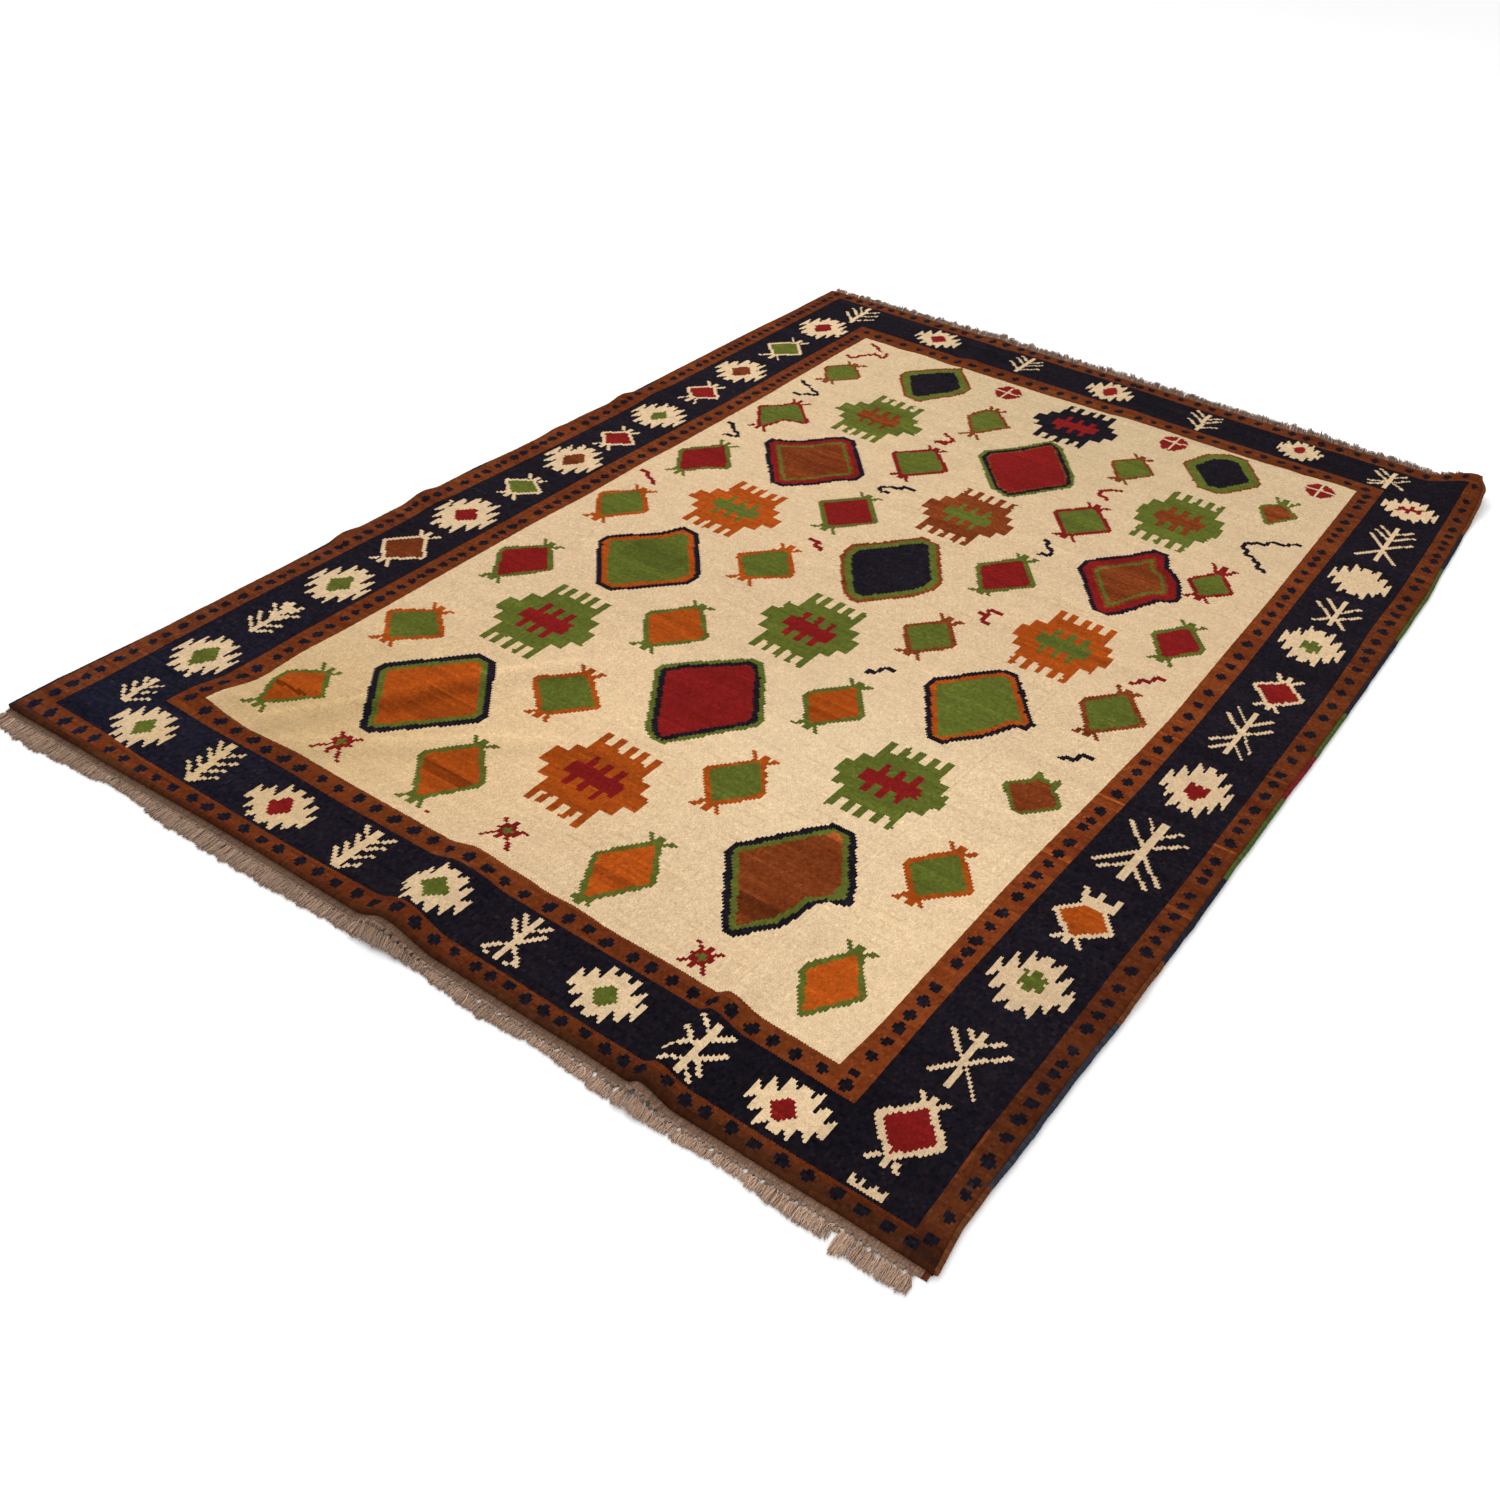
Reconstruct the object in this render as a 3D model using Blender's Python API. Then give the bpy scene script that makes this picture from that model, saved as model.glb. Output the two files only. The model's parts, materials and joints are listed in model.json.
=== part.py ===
# Hand-knotted wool rug, lying on the floor as it settles after being unrolled.
# Plan directions: +X runs along the near fringed end, +Y runs to the far end, +Z is up.
# All sizes are in metres. The plan starts at the near left corner of the pile.

import math
import random
from collections import namedtuple

import bmesh
import bpy
from mathutils import Vector

# Driving sizes of the rug
PILE_WIDTH = 1.702
PILE_LENGTH = 2.438
PILE_LEFT = -0.010
PILE_NEAR = 0.020
SHEET_THICKNESS = 0.010
SHOULDER_WIDTH = 0.005
SHOULDER_DROP = 0.004
THICKNESS_UNEVENNESS = 0.0005
SEAM_GAP = 0.00035

# Overcast cord sewn along each side
CORD_WIDTH = 0.009
CORD_HEIGHT = 0.0072
CORD_SIDES = 8
CORD_END_INSET = 0.001

# Flat-woven end strips and the cut warp fringes that leave them
STRIP_THICKNESS = 0.003
STRANDS_PER_END = 130
STRAND_ROOT_WIDTH = 0.006
STRAND_MIDDLE_WIDTH = 0.0075
STRAND_TIP_WIDTH = 0.006
STRAND_MIDDLE_HEIGHT = 0.0032
STRAND_TIP_HEIGHT = 0.0018
STRAND_SWAY = 0.0018
STRAND_LENGTH_SPREAD = 0.0035

# Corner at the far right that curls up off the floor
CURL_HEIGHT = 0.032
CURL_START_X = 1.545
CURL_SPAN_X = 0.105
CURL_START_Y = 2.250
CURL_SPAN_Y = 0.215

# Soft ridges left by folding: a straight crest, its height at both ends, and how far
# its flanks reach to the left and to the right of someone walking from start to end
Ridge = namedtuple("Ridge", "start_x start_y start_height end_x end_y end_height left right")
RIDGES = (
    Ridge(0.812, -0.060, 0.022, 0.806, 0.560, 0.000, 0.060, 0.095),
    Ridge(1.259, -0.060, 0.015, 1.262, 0.230, 0.015, 0.026, 0.055),
    Ridge(1.262, 0.230, 0.015, 1.268, 0.640, 0.000, 0.026, 0.055),
    Ridge(0.150, 0.175, 0.010, 0.560, 0.585, 0.000, 0.060, 0.060),
    Ridge(0.425, 0.380, 0.005, 0.470, 0.640, 0.000, 0.045, 0.045),
    Ridge(0.480, 2.490, 0.004, 0.492, 2.290, 0.007, 0.045, 0.045),
    Ridge(0.492, 2.290, 0.007, 0.500, 2.130, 0.000, 0.045, 0.045),
    Ridge(1.290, 2.490, 0.004, 1.295, 2.150, 0.000, 0.045, 0.045),
    Ridge(-0.040, 0.730, 0.007, 0.070, 0.740, 0.000, 0.050, 0.050),
    Ridge(-0.040, 0.945, 0.009, 0.080, 0.935, 0.000, 0.055, 0.055),
    Ridge(-0.040, 1.340, 0.004, 0.060, 1.345, 0.000, 0.050, 0.050),
    Ridge(-0.040, 1.565, 0.009, 0.080, 1.560, 0.000, 0.050, 0.050),
    Ridge(1.730, 0.560, 0.005, 1.620, 0.560, 0.000, 0.060, 0.060),
)

# How far each edge of the pile wanders from its straight line
SideWander = namedtuple("SideWander", "y left right")
SIDE_WANDER = (
    SideWander(0.000, 0.001, -0.008),
    SideWander(0.100, -0.001, -0.017),
    SideWander(0.300, 0.004, -0.012),
    SideWander(0.550, 0.003, -0.004),
    SideWander(0.800, -0.001, 0.000),
    SideWander(1.100, -0.003, 0.003),
    SideWander(1.250, 0.003, 0.006),
    SideWander(1.420, 0.002, 0.007),
    SideWander(1.600, 0.008, 0.007),
    SideWander(1.900, 0.006, 0.006),
    SideWander(2.100, 0.005, -0.003),
    SideWander(2.250, 0.008, -0.009),
    SideWander(2.340, 0.007, -0.012),
    SideWander(2.400, 0.007, -0.018),
    SideWander(2.460, 0.006, -0.040),
)
EndWander = namedtuple("EndWander", "x near far")
END_WANDER = (
    EndWander(-0.020, -0.004, -0.008),
    EndWander(0.200, -0.001, -0.004),
    EndWander(0.500, 0.004, 0.000),
    EndWander(0.900, 0.002, 0.003),
    EndWander(1.150, -0.003, 0.002),
    EndWander(1.350, -0.010, 0.003),
    EndWander(1.550, -0.013, 0.002),
    EndWander(1.700, -0.017, 0.000),
)

# Depth of the flat-woven strip and length of the strands beyond it, along each end
FringeReach = namedtuple("FringeReach", "x strip strand")
NEAR_REACH = (
    FringeReach(-0.020, 0.010, 0.014),
    FringeReach(0.020, 0.012, 0.030),
    FringeReach(0.090, 0.012, 0.033),
    FringeReach(0.200, 0.012, 0.026),
    FringeReach(0.280, 0.013, 0.017),
    FringeReach(0.430, 0.014, 0.030),
    FringeReach(0.560, 0.014, 0.031),
    FringeReach(0.760, 0.014, 0.023),
    FringeReach(0.900, 0.014, 0.018),
    FringeReach(1.000, 0.014, 0.026),
    FringeReach(1.100, 0.013, 0.019),
    FringeReach(1.230, 0.013, 0.027),
    FringeReach(1.400, 0.013, 0.020),
    FringeReach(1.520, 0.012, 0.028),
    FringeReach(1.640, 0.012, 0.032),
    FringeReach(1.700, 0.012, 0.030),
)
FAR_REACH = (
    FringeReach(-0.020, 0.006, 0.018),
    FringeReach(0.250, 0.007, 0.022),
    FringeReach(0.320, 0.008, 0.032),
    FringeReach(0.600, 0.008, 0.038),
    FringeReach(1.000, 0.008, 0.037),
    FringeReach(1.300, 0.008, 0.036),
    FringeReach(1.420, 0.008, 0.029),
    FringeReach(1.530, 0.008, 0.030),
    FringeReach(1.585, 0.006, 0.009),
    FringeReach(1.640, 0.005, 0.008),
    FringeReach(1.700, 0.005, 0.012),
)
NEAR_TORN_X = 1.563
NEAR_TORN_WIDTH = 0.009
NEAR_TORN_SHARE = 0.30
STRAND_SLANT_NEAR = 0.001
STRAND_SLANT_FAR = -0.008
DROP_NEAR = 0.85
DROP_FAR = 0.20

# Grid of the sheet: wide cells on flat ground, close ones where it lifts
WIDE_CELL = 0.095
CLOSE_CELL = 0.020
Span = namedtuple("Span", "start end")
CLOSE_X_SPANS = (
    Span(0.752, 0.812),
    Span(0.812, 0.912),
    Span(1.233, 1.259),
    Span(1.259, 1.319),
    Span(1.545, 1.650),
)
MEDIUM_CELL = 0.050
MEDIUM_X_SPANS = (Span(0.090, 0.620),)
CLOSE_Y_SPANS = (Span(2.385, 2.455),)
MEDIUM_Y_SPANS = (Span(0.025, 0.640), Span(0.690, 0.990), Span(1.290, 1.610), Span(2.140, 2.385))

# Colours, linear values
Finish = namedtuple("Finish", "colour roughness")
PILE_FINISH = Finish((0.62, 0.42, 0.21), 0.95)
LEFT_CORD_FINISH = Finish((0.055, 0.022, 0.014), 0.95)
RIGHT_CORD_FINISH = Finish((0.035, 0.036, 0.055), 0.95)
FRINGE_FINISH = Finish((0.27, 0.19, 0.13), 0.95)


def clear_scene():
    for item in list(bpy.data.objects):
        bpy.data.objects.remove(item, do_unlink=True)


def ease(share):
    held = min(max(share, 0.0), 1.0)
    return held * held * (3.0 - 2.0 * held)


def read_row(table, place, column):
    """Value of one column at a place, eased between the rows around it."""
    if place <= table[0][0]:
        return getattr(table[0], column)
    for low, high in zip(table, table[1:]):
        if place <= high[0]:
            share = ease((place - low[0]) / (high[0] - low[0]))
            before = getattr(low, column)
            return before + (getattr(high, column) - before) * share
    return getattr(table[-1], column)


def left_edge(y):
    return PILE_LEFT + read_row(SIDE_WANDER, y, "left")


def right_edge(y):
    return PILE_LEFT + PILE_WIDTH + read_row(SIDE_WANDER, y, "right")


def near_edge(x):
    return PILE_NEAR + read_row(END_WANDER, x, "near")


def far_edge(x):
    return PILE_NEAR + PILE_LENGTH + read_row(END_WANDER, x, "far")


def ridge_height(ridge, x, y):
    """Height of one ridge over a point: a cosine hump around its crest."""
    start = Vector((ridge.start_x, ridge.start_y))
    crest = Vector((ridge.end_x, ridge.end_y)) - start
    offset = Vector((x, y)) - start
    along = min(max(offset.dot(crest) / crest.length_squared, 0.0), 1.0)
    away = (offset - crest * along).length
    reach = ridge.left if crest.cross(offset) > 0.0 else ridge.right
    if away >= reach:
        return 0.0
    height = ridge.start_height + (ridge.end_height - ridge.start_height) * ease(along)
    return height * math.cos(0.5 * math.pi * away / reach) ** 2


def corner_curl(x, y):
    across = ease((x - CURL_START_X) / CURL_SPAN_X)
    along = ease((y - CURL_START_Y) / CURL_SPAN_Y)
    return CURL_HEIGHT * across * along


def lift(x, y):
    """How far the underside stands off the floor."""
    highest = max(ridge_height(ridge, x, y) for ridge in RIDGES)
    return max(highest, corner_curl(x, y))


def unevenness(x, y):
    """Slow change of the pile's height, as hand shearing leaves it."""
    return THICKNESS_UNEVENNESS * math.sin(7.0 * x + 1.3) * math.sin(5.0 * y + 0.4)


def cell_at(place, close_spans, medium_spans):
    if any(span.start <= place < span.end for span in close_spans):
        return CLOSE_CELL
    if any(span.start <= place < span.end for span in medium_spans):
        return MEDIUM_CELL
    return WIDE_CELL


def grid_places(start, length, close_spans, medium_spans):
    """Grid lines from one edge to the other, with a narrow cell for each rounded shoulder."""
    stops = sorted({span.start for span in close_spans + medium_spans})
    last = start + length - SHOULDER_WIDTH
    places = [start, start + SHOULDER_WIDTH]
    while True:
        here = places[-1]
        step = cell_at(here, close_spans, medium_spans)
        following = here + step
        for stop in stops:
            if here + 0.3 * CLOSE_CELL < stop < following:
                following = stop
                break
        if following > last - 0.5 * CLOSE_CELL:
            break
        places.append(following)
    return places + [last, start + length]


def make_object(name, mesh_builder, finish):
    mesh = bpy.data.meshes.new(name)
    bmesh.ops.recalc_face_normals(mesh_builder, faces=mesh_builder.faces)
    mesh_builder.to_mesh(mesh)
    mesh_builder.free()
    piece = bpy.data.objects.new(name, mesh)
    bpy.context.scene.collection.objects.link(piece)
    mesh.materials.append(make_material(name, finish))
    return piece


def make_material(name, finish):
    material = bpy.data.materials.new(name)
    material.use_nodes = True
    shader = material.node_tree.nodes["Principled BSDF"]
    shader.inputs["Base Color"].default_value = (*finish.colour, 1.0)
    shader.inputs["Roughness"].default_value = finish.roughness
    shader.inputs["Metallic"].default_value = 0.0
    return material


def sheet_lines():
    across = grid_places(PILE_LEFT, PILE_WIDTH, CLOSE_X_SPANS, MEDIUM_X_SPANS)
    along = grid_places(PILE_NEAR, PILE_LENGTH, CLOSE_Y_SPANS, MEDIUM_Y_SPANS)
    return across, along


def plan_point(x, y):
    """Moves a point of the straight rectangle to the rug's own wandering outline."""
    share_x = (x - PILE_LEFT) / PILE_WIDTH
    share_y = (y - PILE_NEAR) / PILE_LENGTH
    plan_x = left_edge(y) + (right_edge(y) - left_edge(y)) * share_x
    plan_y = near_edge(x) + (far_edge(x) - near_edge(x)) * share_y
    return plan_x, plan_y


def make_pile():
    """The knotted sheet: one slab of even thickness over its ridges and the curled corner."""
    across, along = sheet_lines()
    builder = bmesh.new()
    under = []
    over = []
    for y in along:
        under_row = []
        over_row = []
        for x in across:
            plan_x, plan_y = plan_point(x, y)
            base = lift(plan_x, plan_y)
            thickness = SHEET_THICKNESS + unevenness(plan_x, plan_y)
            if x in (across[0], across[-1]) or y in (along[0], along[-1]):
                thickness -= SHOULDER_DROP
            under_row.append(builder.verts.new((plan_x, plan_y, base)))
            over_row.append(builder.verts.new((plan_x, plan_y, base + thickness)))
        under.append(under_row)
        over.append(over_row)
    for layer in (under, over):
        for low, high in zip(layer, layer[1:]):
            for i in range(len(low) - 1):
                builder.faces.new((low[i], low[i + 1], high[i + 1], high[i]))
    rim = [edge for edge in builder.edges if edge.is_boundary]
    bmesh.ops.bridge_loops(builder, edges=rim)
    return make_object("rug_pile", builder, PILE_FINISH)


def make_side_cord(name, side, finish):
    """A round cord along one side, its inner flat facing the sheet's edge."""
    along = sheet_lines()[1]
    builder = bmesh.new()
    corner_radius = 0.5 / math.cos(math.pi / CORD_SIDES)
    rings = []
    for y in along:
        corner_x = PILE_LEFT if side < 0 else PILE_LEFT + PILE_WIDTH
        plan_x, plan_y = plan_point(corner_x, y)
        if y == along[0]:
            plan_y += CORD_END_INSET
        if y == along[-1]:
            plan_y -= CORD_END_INSET
        centre_x = plan_x + side * (SEAM_GAP + 0.5 * CORD_WIDTH)
        base = lift(plan_x, plan_y)
        ring = []
        for k in range(CORD_SIDES):
            angle = 2.0 * math.pi * (k + 0.5) / CORD_SIDES
            ring.append(builder.verts.new((
                centre_x + CORD_WIDTH * corner_radius * math.cos(angle),
                plan_y,
                base + CORD_HEIGHT * (0.5 + corner_radius * math.sin(angle)),
            )))
        rings.append(ring)
    for low, high in zip(rings, rings[1:]):
        for k in range(CORD_SIDES):
            following = (k + 1) % CORD_SIDES
            builder.faces.new((low[k], low[following], high[following], high[k]))
    builder.faces.new(rings[0])
    builder.faces.new(list(reversed(rings[-1])))
    return make_object(name, builder, finish)


def end_line(row_y):
    """Corners of the sheet along one end, so that a strip beside it runs parallel."""
    return [Vector(plan_point(x, row_y)) for x in sheet_lines()[0]]


def line_height(line, x):
    """Y of a line of corners at x, straight between them."""
    for low, high in zip(line, line[1:]):
        if x <= high.x:
            share = max((x - low.x) / (high.x - low.x), 0.0)
            return low.y + (high.y - low.y) * share
    return line[-1].y


def strand_length(reach, x, direction, chance):
    length = read_row(reach, x, "strand")
    spread = min(STRAND_LENGTH_SPREAD, 0.25 * length)
    length += chance.uniform(-spread, spread)
    if direction < 0 and abs(x - NEAR_TORN_X) < 0.5 * NEAR_TORN_WIDTH:
        length *= NEAR_TORN_SHARE
    return length


def grow_strand(builder, root, x, outer_y, direction, length, slant, drop, chance):
    """Extrudes one root triangle twice: a middle section and a blunt tip, both on their base."""
    base = lift(x, outer_y)
    sway = slant + chance.uniform(-STRAND_SWAY, STRAND_SWAY)
    Section = namedtuple("Section", "share width height")
    sections = (
        Section(0.5, STRAND_MIDDLE_WIDTH, STRAND_MIDDLE_HEIGHT),
        Section(1.0, STRAND_TIP_WIDTH, STRAND_TIP_HEIGHT),
    )
    face = root
    for section in sections:
        face = bmesh.ops.extrude_discrete_faces(builder, faces=[face])["faces"][0]
        centre_x = x + sway * section.share
        y = outer_y + direction * length * section.share
        floor_z = base * (1.0 - drop * section.share)
        apex = max(face.verts, key=lambda vert: vert.co.z)
        feet = sorted((vert for vert in face.verts if vert is not apex), key=lambda vert: vert.co.x)
        feet[0].co = (centre_x - 0.5 * section.width, y, floor_z)
        feet[1].co = (centre_x + 0.5 * section.width, y, floor_z)
        apex.co = (centre_x, y, floor_z + section.height)


def make_fringe(name, line, direction, reach, slant, drop, seed):
    """A flat-woven strip beside one end of the sheet, with its cut strands fused to it."""
    chance = random.Random(seed)
    builder = bmesh.new()
    start_x = line[0].x
    pitch = (line[-1].x - start_x) / STRANDS_PER_END
    columns = []
    for i in range(STRANDS_PER_END):
        x = start_x + pitch * (i + 0.5)
        inner_y = line_height(line, x) + direction * SEAM_GAP
        outer_y = inner_y + direction * read_row(reach, x, "strip")
        inner_z = lift(x, inner_y)
        outer_z = lift(x, outer_y)
        half = 0.5 * STRAND_ROOT_WIDTH
        columns.append({
            "x": x,
            "outer_y": outer_y,
            "inner_low": builder.verts.new((x, inner_y, inner_z)),
            "inner_top": builder.verts.new((x, inner_y, inner_z + STRIP_THICKNESS)),
            "foot_left": builder.verts.new((x - half, outer_y, outer_z)),
            "foot_right": builder.verts.new((x + half, outer_y, outer_z)),
            "apex": builder.verts.new((x, outer_y, outer_z + STRIP_THICKNESS)),
        })
    roots = []
    for column in columns:
        roots.append(builder.faces.new((column["foot_left"], column["foot_right"], column["apex"])))
        builder.faces.new((column["inner_low"], column["foot_right"], column["foot_left"]))
    for left, right in zip(columns, columns[1:]):
        builder.faces.new((left["inner_top"], right["inner_top"], right["apex"], left["apex"]))
        builder.faces.new((left["inner_low"], right["inner_low"], right["inner_top"], left["inner_top"]))
        builder.faces.new((left["foot_right"], right["foot_left"], right["inner_low"], left["inner_low"]))
        builder.faces.new((left["apex"], right["apex"], right["foot_left"], left["foot_right"]))
    first = columns[0]
    last = columns[-1]
    builder.faces.new((first["inner_low"], first["inner_top"], first["apex"], first["foot_left"]))
    builder.faces.new((last["inner_low"], last["foot_right"], last["apex"], last["inner_top"]))
    bmesh.ops.recalc_face_normals(builder, faces=builder.faces)
    for column, root in zip(columns, roots):
        length = strand_length(reach, column["x"], direction, chance)
        grow_strand(builder, root, column["x"], column["outer_y"], direction, length, slant, drop, chance)
    return make_object(name, builder, FRINGE_FINISH)


def centre_on_origin(pieces):
    """Moves all meshes so that the origin is under the middle of the whole rug."""
    places = [vert.co for piece in pieces for vert in piece.data.vertices]
    middle_x = 0.5 * (min(place.x for place in places) + max(place.x for place in places))
    middle_y = 0.5 * (min(place.y for place in places) + max(place.y for place in places))
    lowest = min(place.z for place in places)
    for piece in pieces:
        for vert in piece.data.vertices:
            vert.co.x -= middle_x
            vert.co.y -= middle_y
            vert.co.z -= lowest
    print("plan start lies at", round(-middle_x, 6), round(-middle_y, 6))


def make_rug():
    clear_scene()
    pieces = [
        make_pile(),
        make_side_cord("side_cord_left", -1, LEFT_CORD_FINISH),
        make_side_cord("side_cord_right", 1, RIGHT_CORD_FINISH),
        make_fringe("fringe_near", end_line(PILE_NEAR), -1, NEAR_REACH, STRAND_SLANT_NEAR, DROP_NEAR, 11),
        make_fringe("fringe_far", end_line(PILE_NEAR + PILE_LENGTH), 1, FAR_REACH,
                    STRAND_SLANT_FAR, DROP_FAR, 23),
    ]
    centre_on_origin(pieces)


make_rug()
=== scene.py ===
import json
import math

import bpy
import numpy as np
from mathutils import Matrix, Vector


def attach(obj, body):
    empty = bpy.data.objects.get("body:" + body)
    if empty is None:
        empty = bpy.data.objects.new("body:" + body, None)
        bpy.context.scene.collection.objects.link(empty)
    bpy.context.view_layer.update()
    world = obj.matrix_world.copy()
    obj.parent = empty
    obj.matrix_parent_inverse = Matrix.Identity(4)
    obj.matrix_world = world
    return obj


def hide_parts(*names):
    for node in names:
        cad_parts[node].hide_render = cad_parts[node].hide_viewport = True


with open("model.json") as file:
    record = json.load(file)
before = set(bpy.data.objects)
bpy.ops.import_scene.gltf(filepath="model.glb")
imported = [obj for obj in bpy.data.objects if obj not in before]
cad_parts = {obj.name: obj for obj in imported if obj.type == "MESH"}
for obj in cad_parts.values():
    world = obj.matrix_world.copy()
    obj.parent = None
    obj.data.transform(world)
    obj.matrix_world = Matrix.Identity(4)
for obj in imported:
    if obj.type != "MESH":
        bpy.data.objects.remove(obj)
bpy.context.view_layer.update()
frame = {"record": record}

# Hand-knotted wool rug: a chart of knots, the pile made from it, side cords, end strips and fringes.
# The plan starts at the near left corner: x along the near end, y to the far end, in metres.
underside = next(mount for mount in frame["record"]["mounts"] if mount["name"] == "underside")
undersideOnPlan = (0.850, 1.230)
planStart = [inFrame - onPlan for inFrame, onPlan in zip(underside["pos_m"], undersideOnPlan)]

# The eye of the photograph, over the plan, and where it looks
photoView = {
    "place": (2.04627, -1.04452, 1.53246),
    "right": (0.81912, 0.57031, 0.06153),
    "ahead": (-0.42573, 0.67631, -0.60114),
    "lens": 38.012,
    "sensorWidth": 36.0,
}

sheetSizes = {
    "left": -0.010,
    "near": 0.020,
    "width": 1.702,
    "length": 2.438,
    "thickness": 0.010,
}
sidesX = (sheetSizes["left"], sheetSizes["left"] + sheetSizes["width"])
endsY = (sheetSizes["near"], sheetSizes["near"] + sheetSizes["length"])

# Soft ridges: start x, y, height, end x, y, height, reach to the left and to the right of the crest.
# The first rows are the high ridges at the near end.
highRidgeRows = 3
ridges = (
    (0.812, -0.060, 0.022, 0.806, 0.560, 0.000, 0.060, 0.095),
    (1.259, -0.060, 0.015, 1.262, 0.230, 0.015, 0.026, 0.055),
    (1.262, 0.230, 0.015, 1.268, 0.640, 0.000, 0.026, 0.055),
    (0.150, 0.175, 0.010, 0.560, 0.585, 0.000, 0.060, 0.060),
    (0.425, 0.380, 0.005, 0.470, 0.640, 0.000, 0.045, 0.045),
    (0.480, 2.490, 0.004, 0.492, 2.290, 0.007, 0.045, 0.045),
    (0.492, 2.290, 0.007, 0.500, 2.130, 0.000, 0.045, 0.045),
    (1.290, 2.490, 0.004, 1.295, 2.150, 0.000, 0.045, 0.045),
    (-0.040, 0.730, 0.007, 0.070, 0.740, 0.000, 0.050, 0.050),
    (-0.040, 0.945, 0.009, 0.080, 0.935, 0.000, 0.055, 0.055),
    (-0.040, 1.340, 0.004, 0.060, 1.345, 0.000, 0.050, 0.050),
    (-0.040, 1.565, 0.009, 0.080, 1.560, 0.000, 0.050, 0.050),
    (1.730, 0.560, 0.005, 1.620, 0.560, 0.000, 0.060, 0.060),
)
cornerCurl = {"height": 0.032, "startX": 1.545, "spanX": 0.105, "startY": 2.250, "spanY": 0.215}

# How far the left and right edges wander from straight, by y
sideWander = (
    (0.000, 0.001, -0.008), (0.100, -0.001, -0.017), (0.300, 0.004, -0.012),
    (0.550, 0.003, -0.004), (0.800, -0.001, 0.000), (1.100, -0.003, 0.003),
    (1.250, 0.003, 0.006), (1.420, 0.002, 0.007), (1.600, 0.008, 0.007),
    (1.900, 0.006, 0.006), (2.100, 0.005, -0.003), (2.250, 0.008, -0.009),
    (2.340, 0.007, -0.012), (2.400, 0.007, -0.018), (2.460, 0.006, -0.040),
)
# How far the near and far ends wander, by x
endWander = (
    (-0.020, -0.004, -0.008), (0.200, -0.001, -0.004), (0.500, 0.004, 0.000),
    (0.900, 0.002, 0.003), (1.150, -0.003, 0.002), (1.350, -0.010, 0.003),
    (1.550, -0.013, 0.002), (1.700, -0.017, 0.000),
)


def ease(share):
    held = np.clip(share, 0.0, 1.0)
    return held * held * (3.0 - 2.0 * held)


# Value of one column of a table at some places, eased between its rows
def readTable(table, place, column):
    place = np.asarray(place, float)
    value = np.full(place.shape, float(table[0][column]))
    for low, high in zip(table, table[1:]):
        value = value + (high[column] - low[column]) * ease((place - low[0]) / (high[0] - low[0]))
    return value


# Moves points of the straight rectangle to the rug's own wandering outline
def planPoint(x, y):
    shareX = (x - sheetSizes["left"]) / sheetSizes["width"]
    shareY = (y - sheetSizes["near"]) / sheetSizes["length"]
    leftEdge, rightEdge = (sidesX[side] + readTable(sideWander, y, side + 1) for side in (0, 1))
    nearEdge, farEdge = (endsY[end] + readTable(endWander, x, end + 1) for end in (0, 1))
    return leftEdge + (rightEdge - leftEdge) * shareX, nearEdge + (farEdge - nearEdge) * shareY


def ridgeHeight(ridge, x, y):
    startX, startY, startHeight, endX, endY, endHeight, leftReach, rightReach = ridge
    crestX, crestY = endX - startX, endY - startY
    along = ((x - startX) * crestX + (y - startY) * crestY) / (crestX ** 2 + crestY ** 2)
    along = np.clip(along, 0.0, 1.0)
    awayX, awayY = x - startX - crestX * along, y - startY - crestY * along
    onLeft = crestX * (y - startY) - crestY * (x - startX) > 0.0
    away = np.minimum(np.hypot(awayX, awayY) / np.where(onLeft, leftReach, rightReach), 1.0)
    height = startHeight + (endHeight - startHeight) * ease(along)
    return height * np.cos(0.5 * math.pi * away) ** 2


# How far the underside stands off the floor
def liftAt(x, y):
    across = ease((x - cornerCurl["startX"]) / cornerCurl["spanX"])
    along = ease((y - cornerCurl["startY"]) / cornerCurl["spanY"])
    lifted = cornerCurl["height"] * across * along
    for ridge in ridges:
        lifted = np.maximum(lifted, ridgeHeight(ridge, x, y))
    return lifted


# Turns plan places into row-frame points
def toFrame(x, y, z):
    return np.stack([x + planStart[0], y + planStart[1], z], -1)


# The chart of knots; its measures are in millimetres, where each knot lies on the rug
knotChart = {"columns": 378, "rows": 436, "raggedness": 0.35, "seed": 5}
dyes = ("cream", "navy", "brown", "red", "green", "orange")

knotWidth = sheetSizes["width"] / knotChart["columns"]
knotHeight = sheetSizes["length"] / knotChart["rows"]
print("knots", round(1000 * knotWidth, 2), "by", round(1000 * knotHeight, 2), "mm")


# Places of a border's edge line, from (along, across) pairs
def edgeLine(pairs, along):
    return np.interp(along, [pair[0] for pair in pairs], [pair[1] for pair in pairs])


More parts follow.
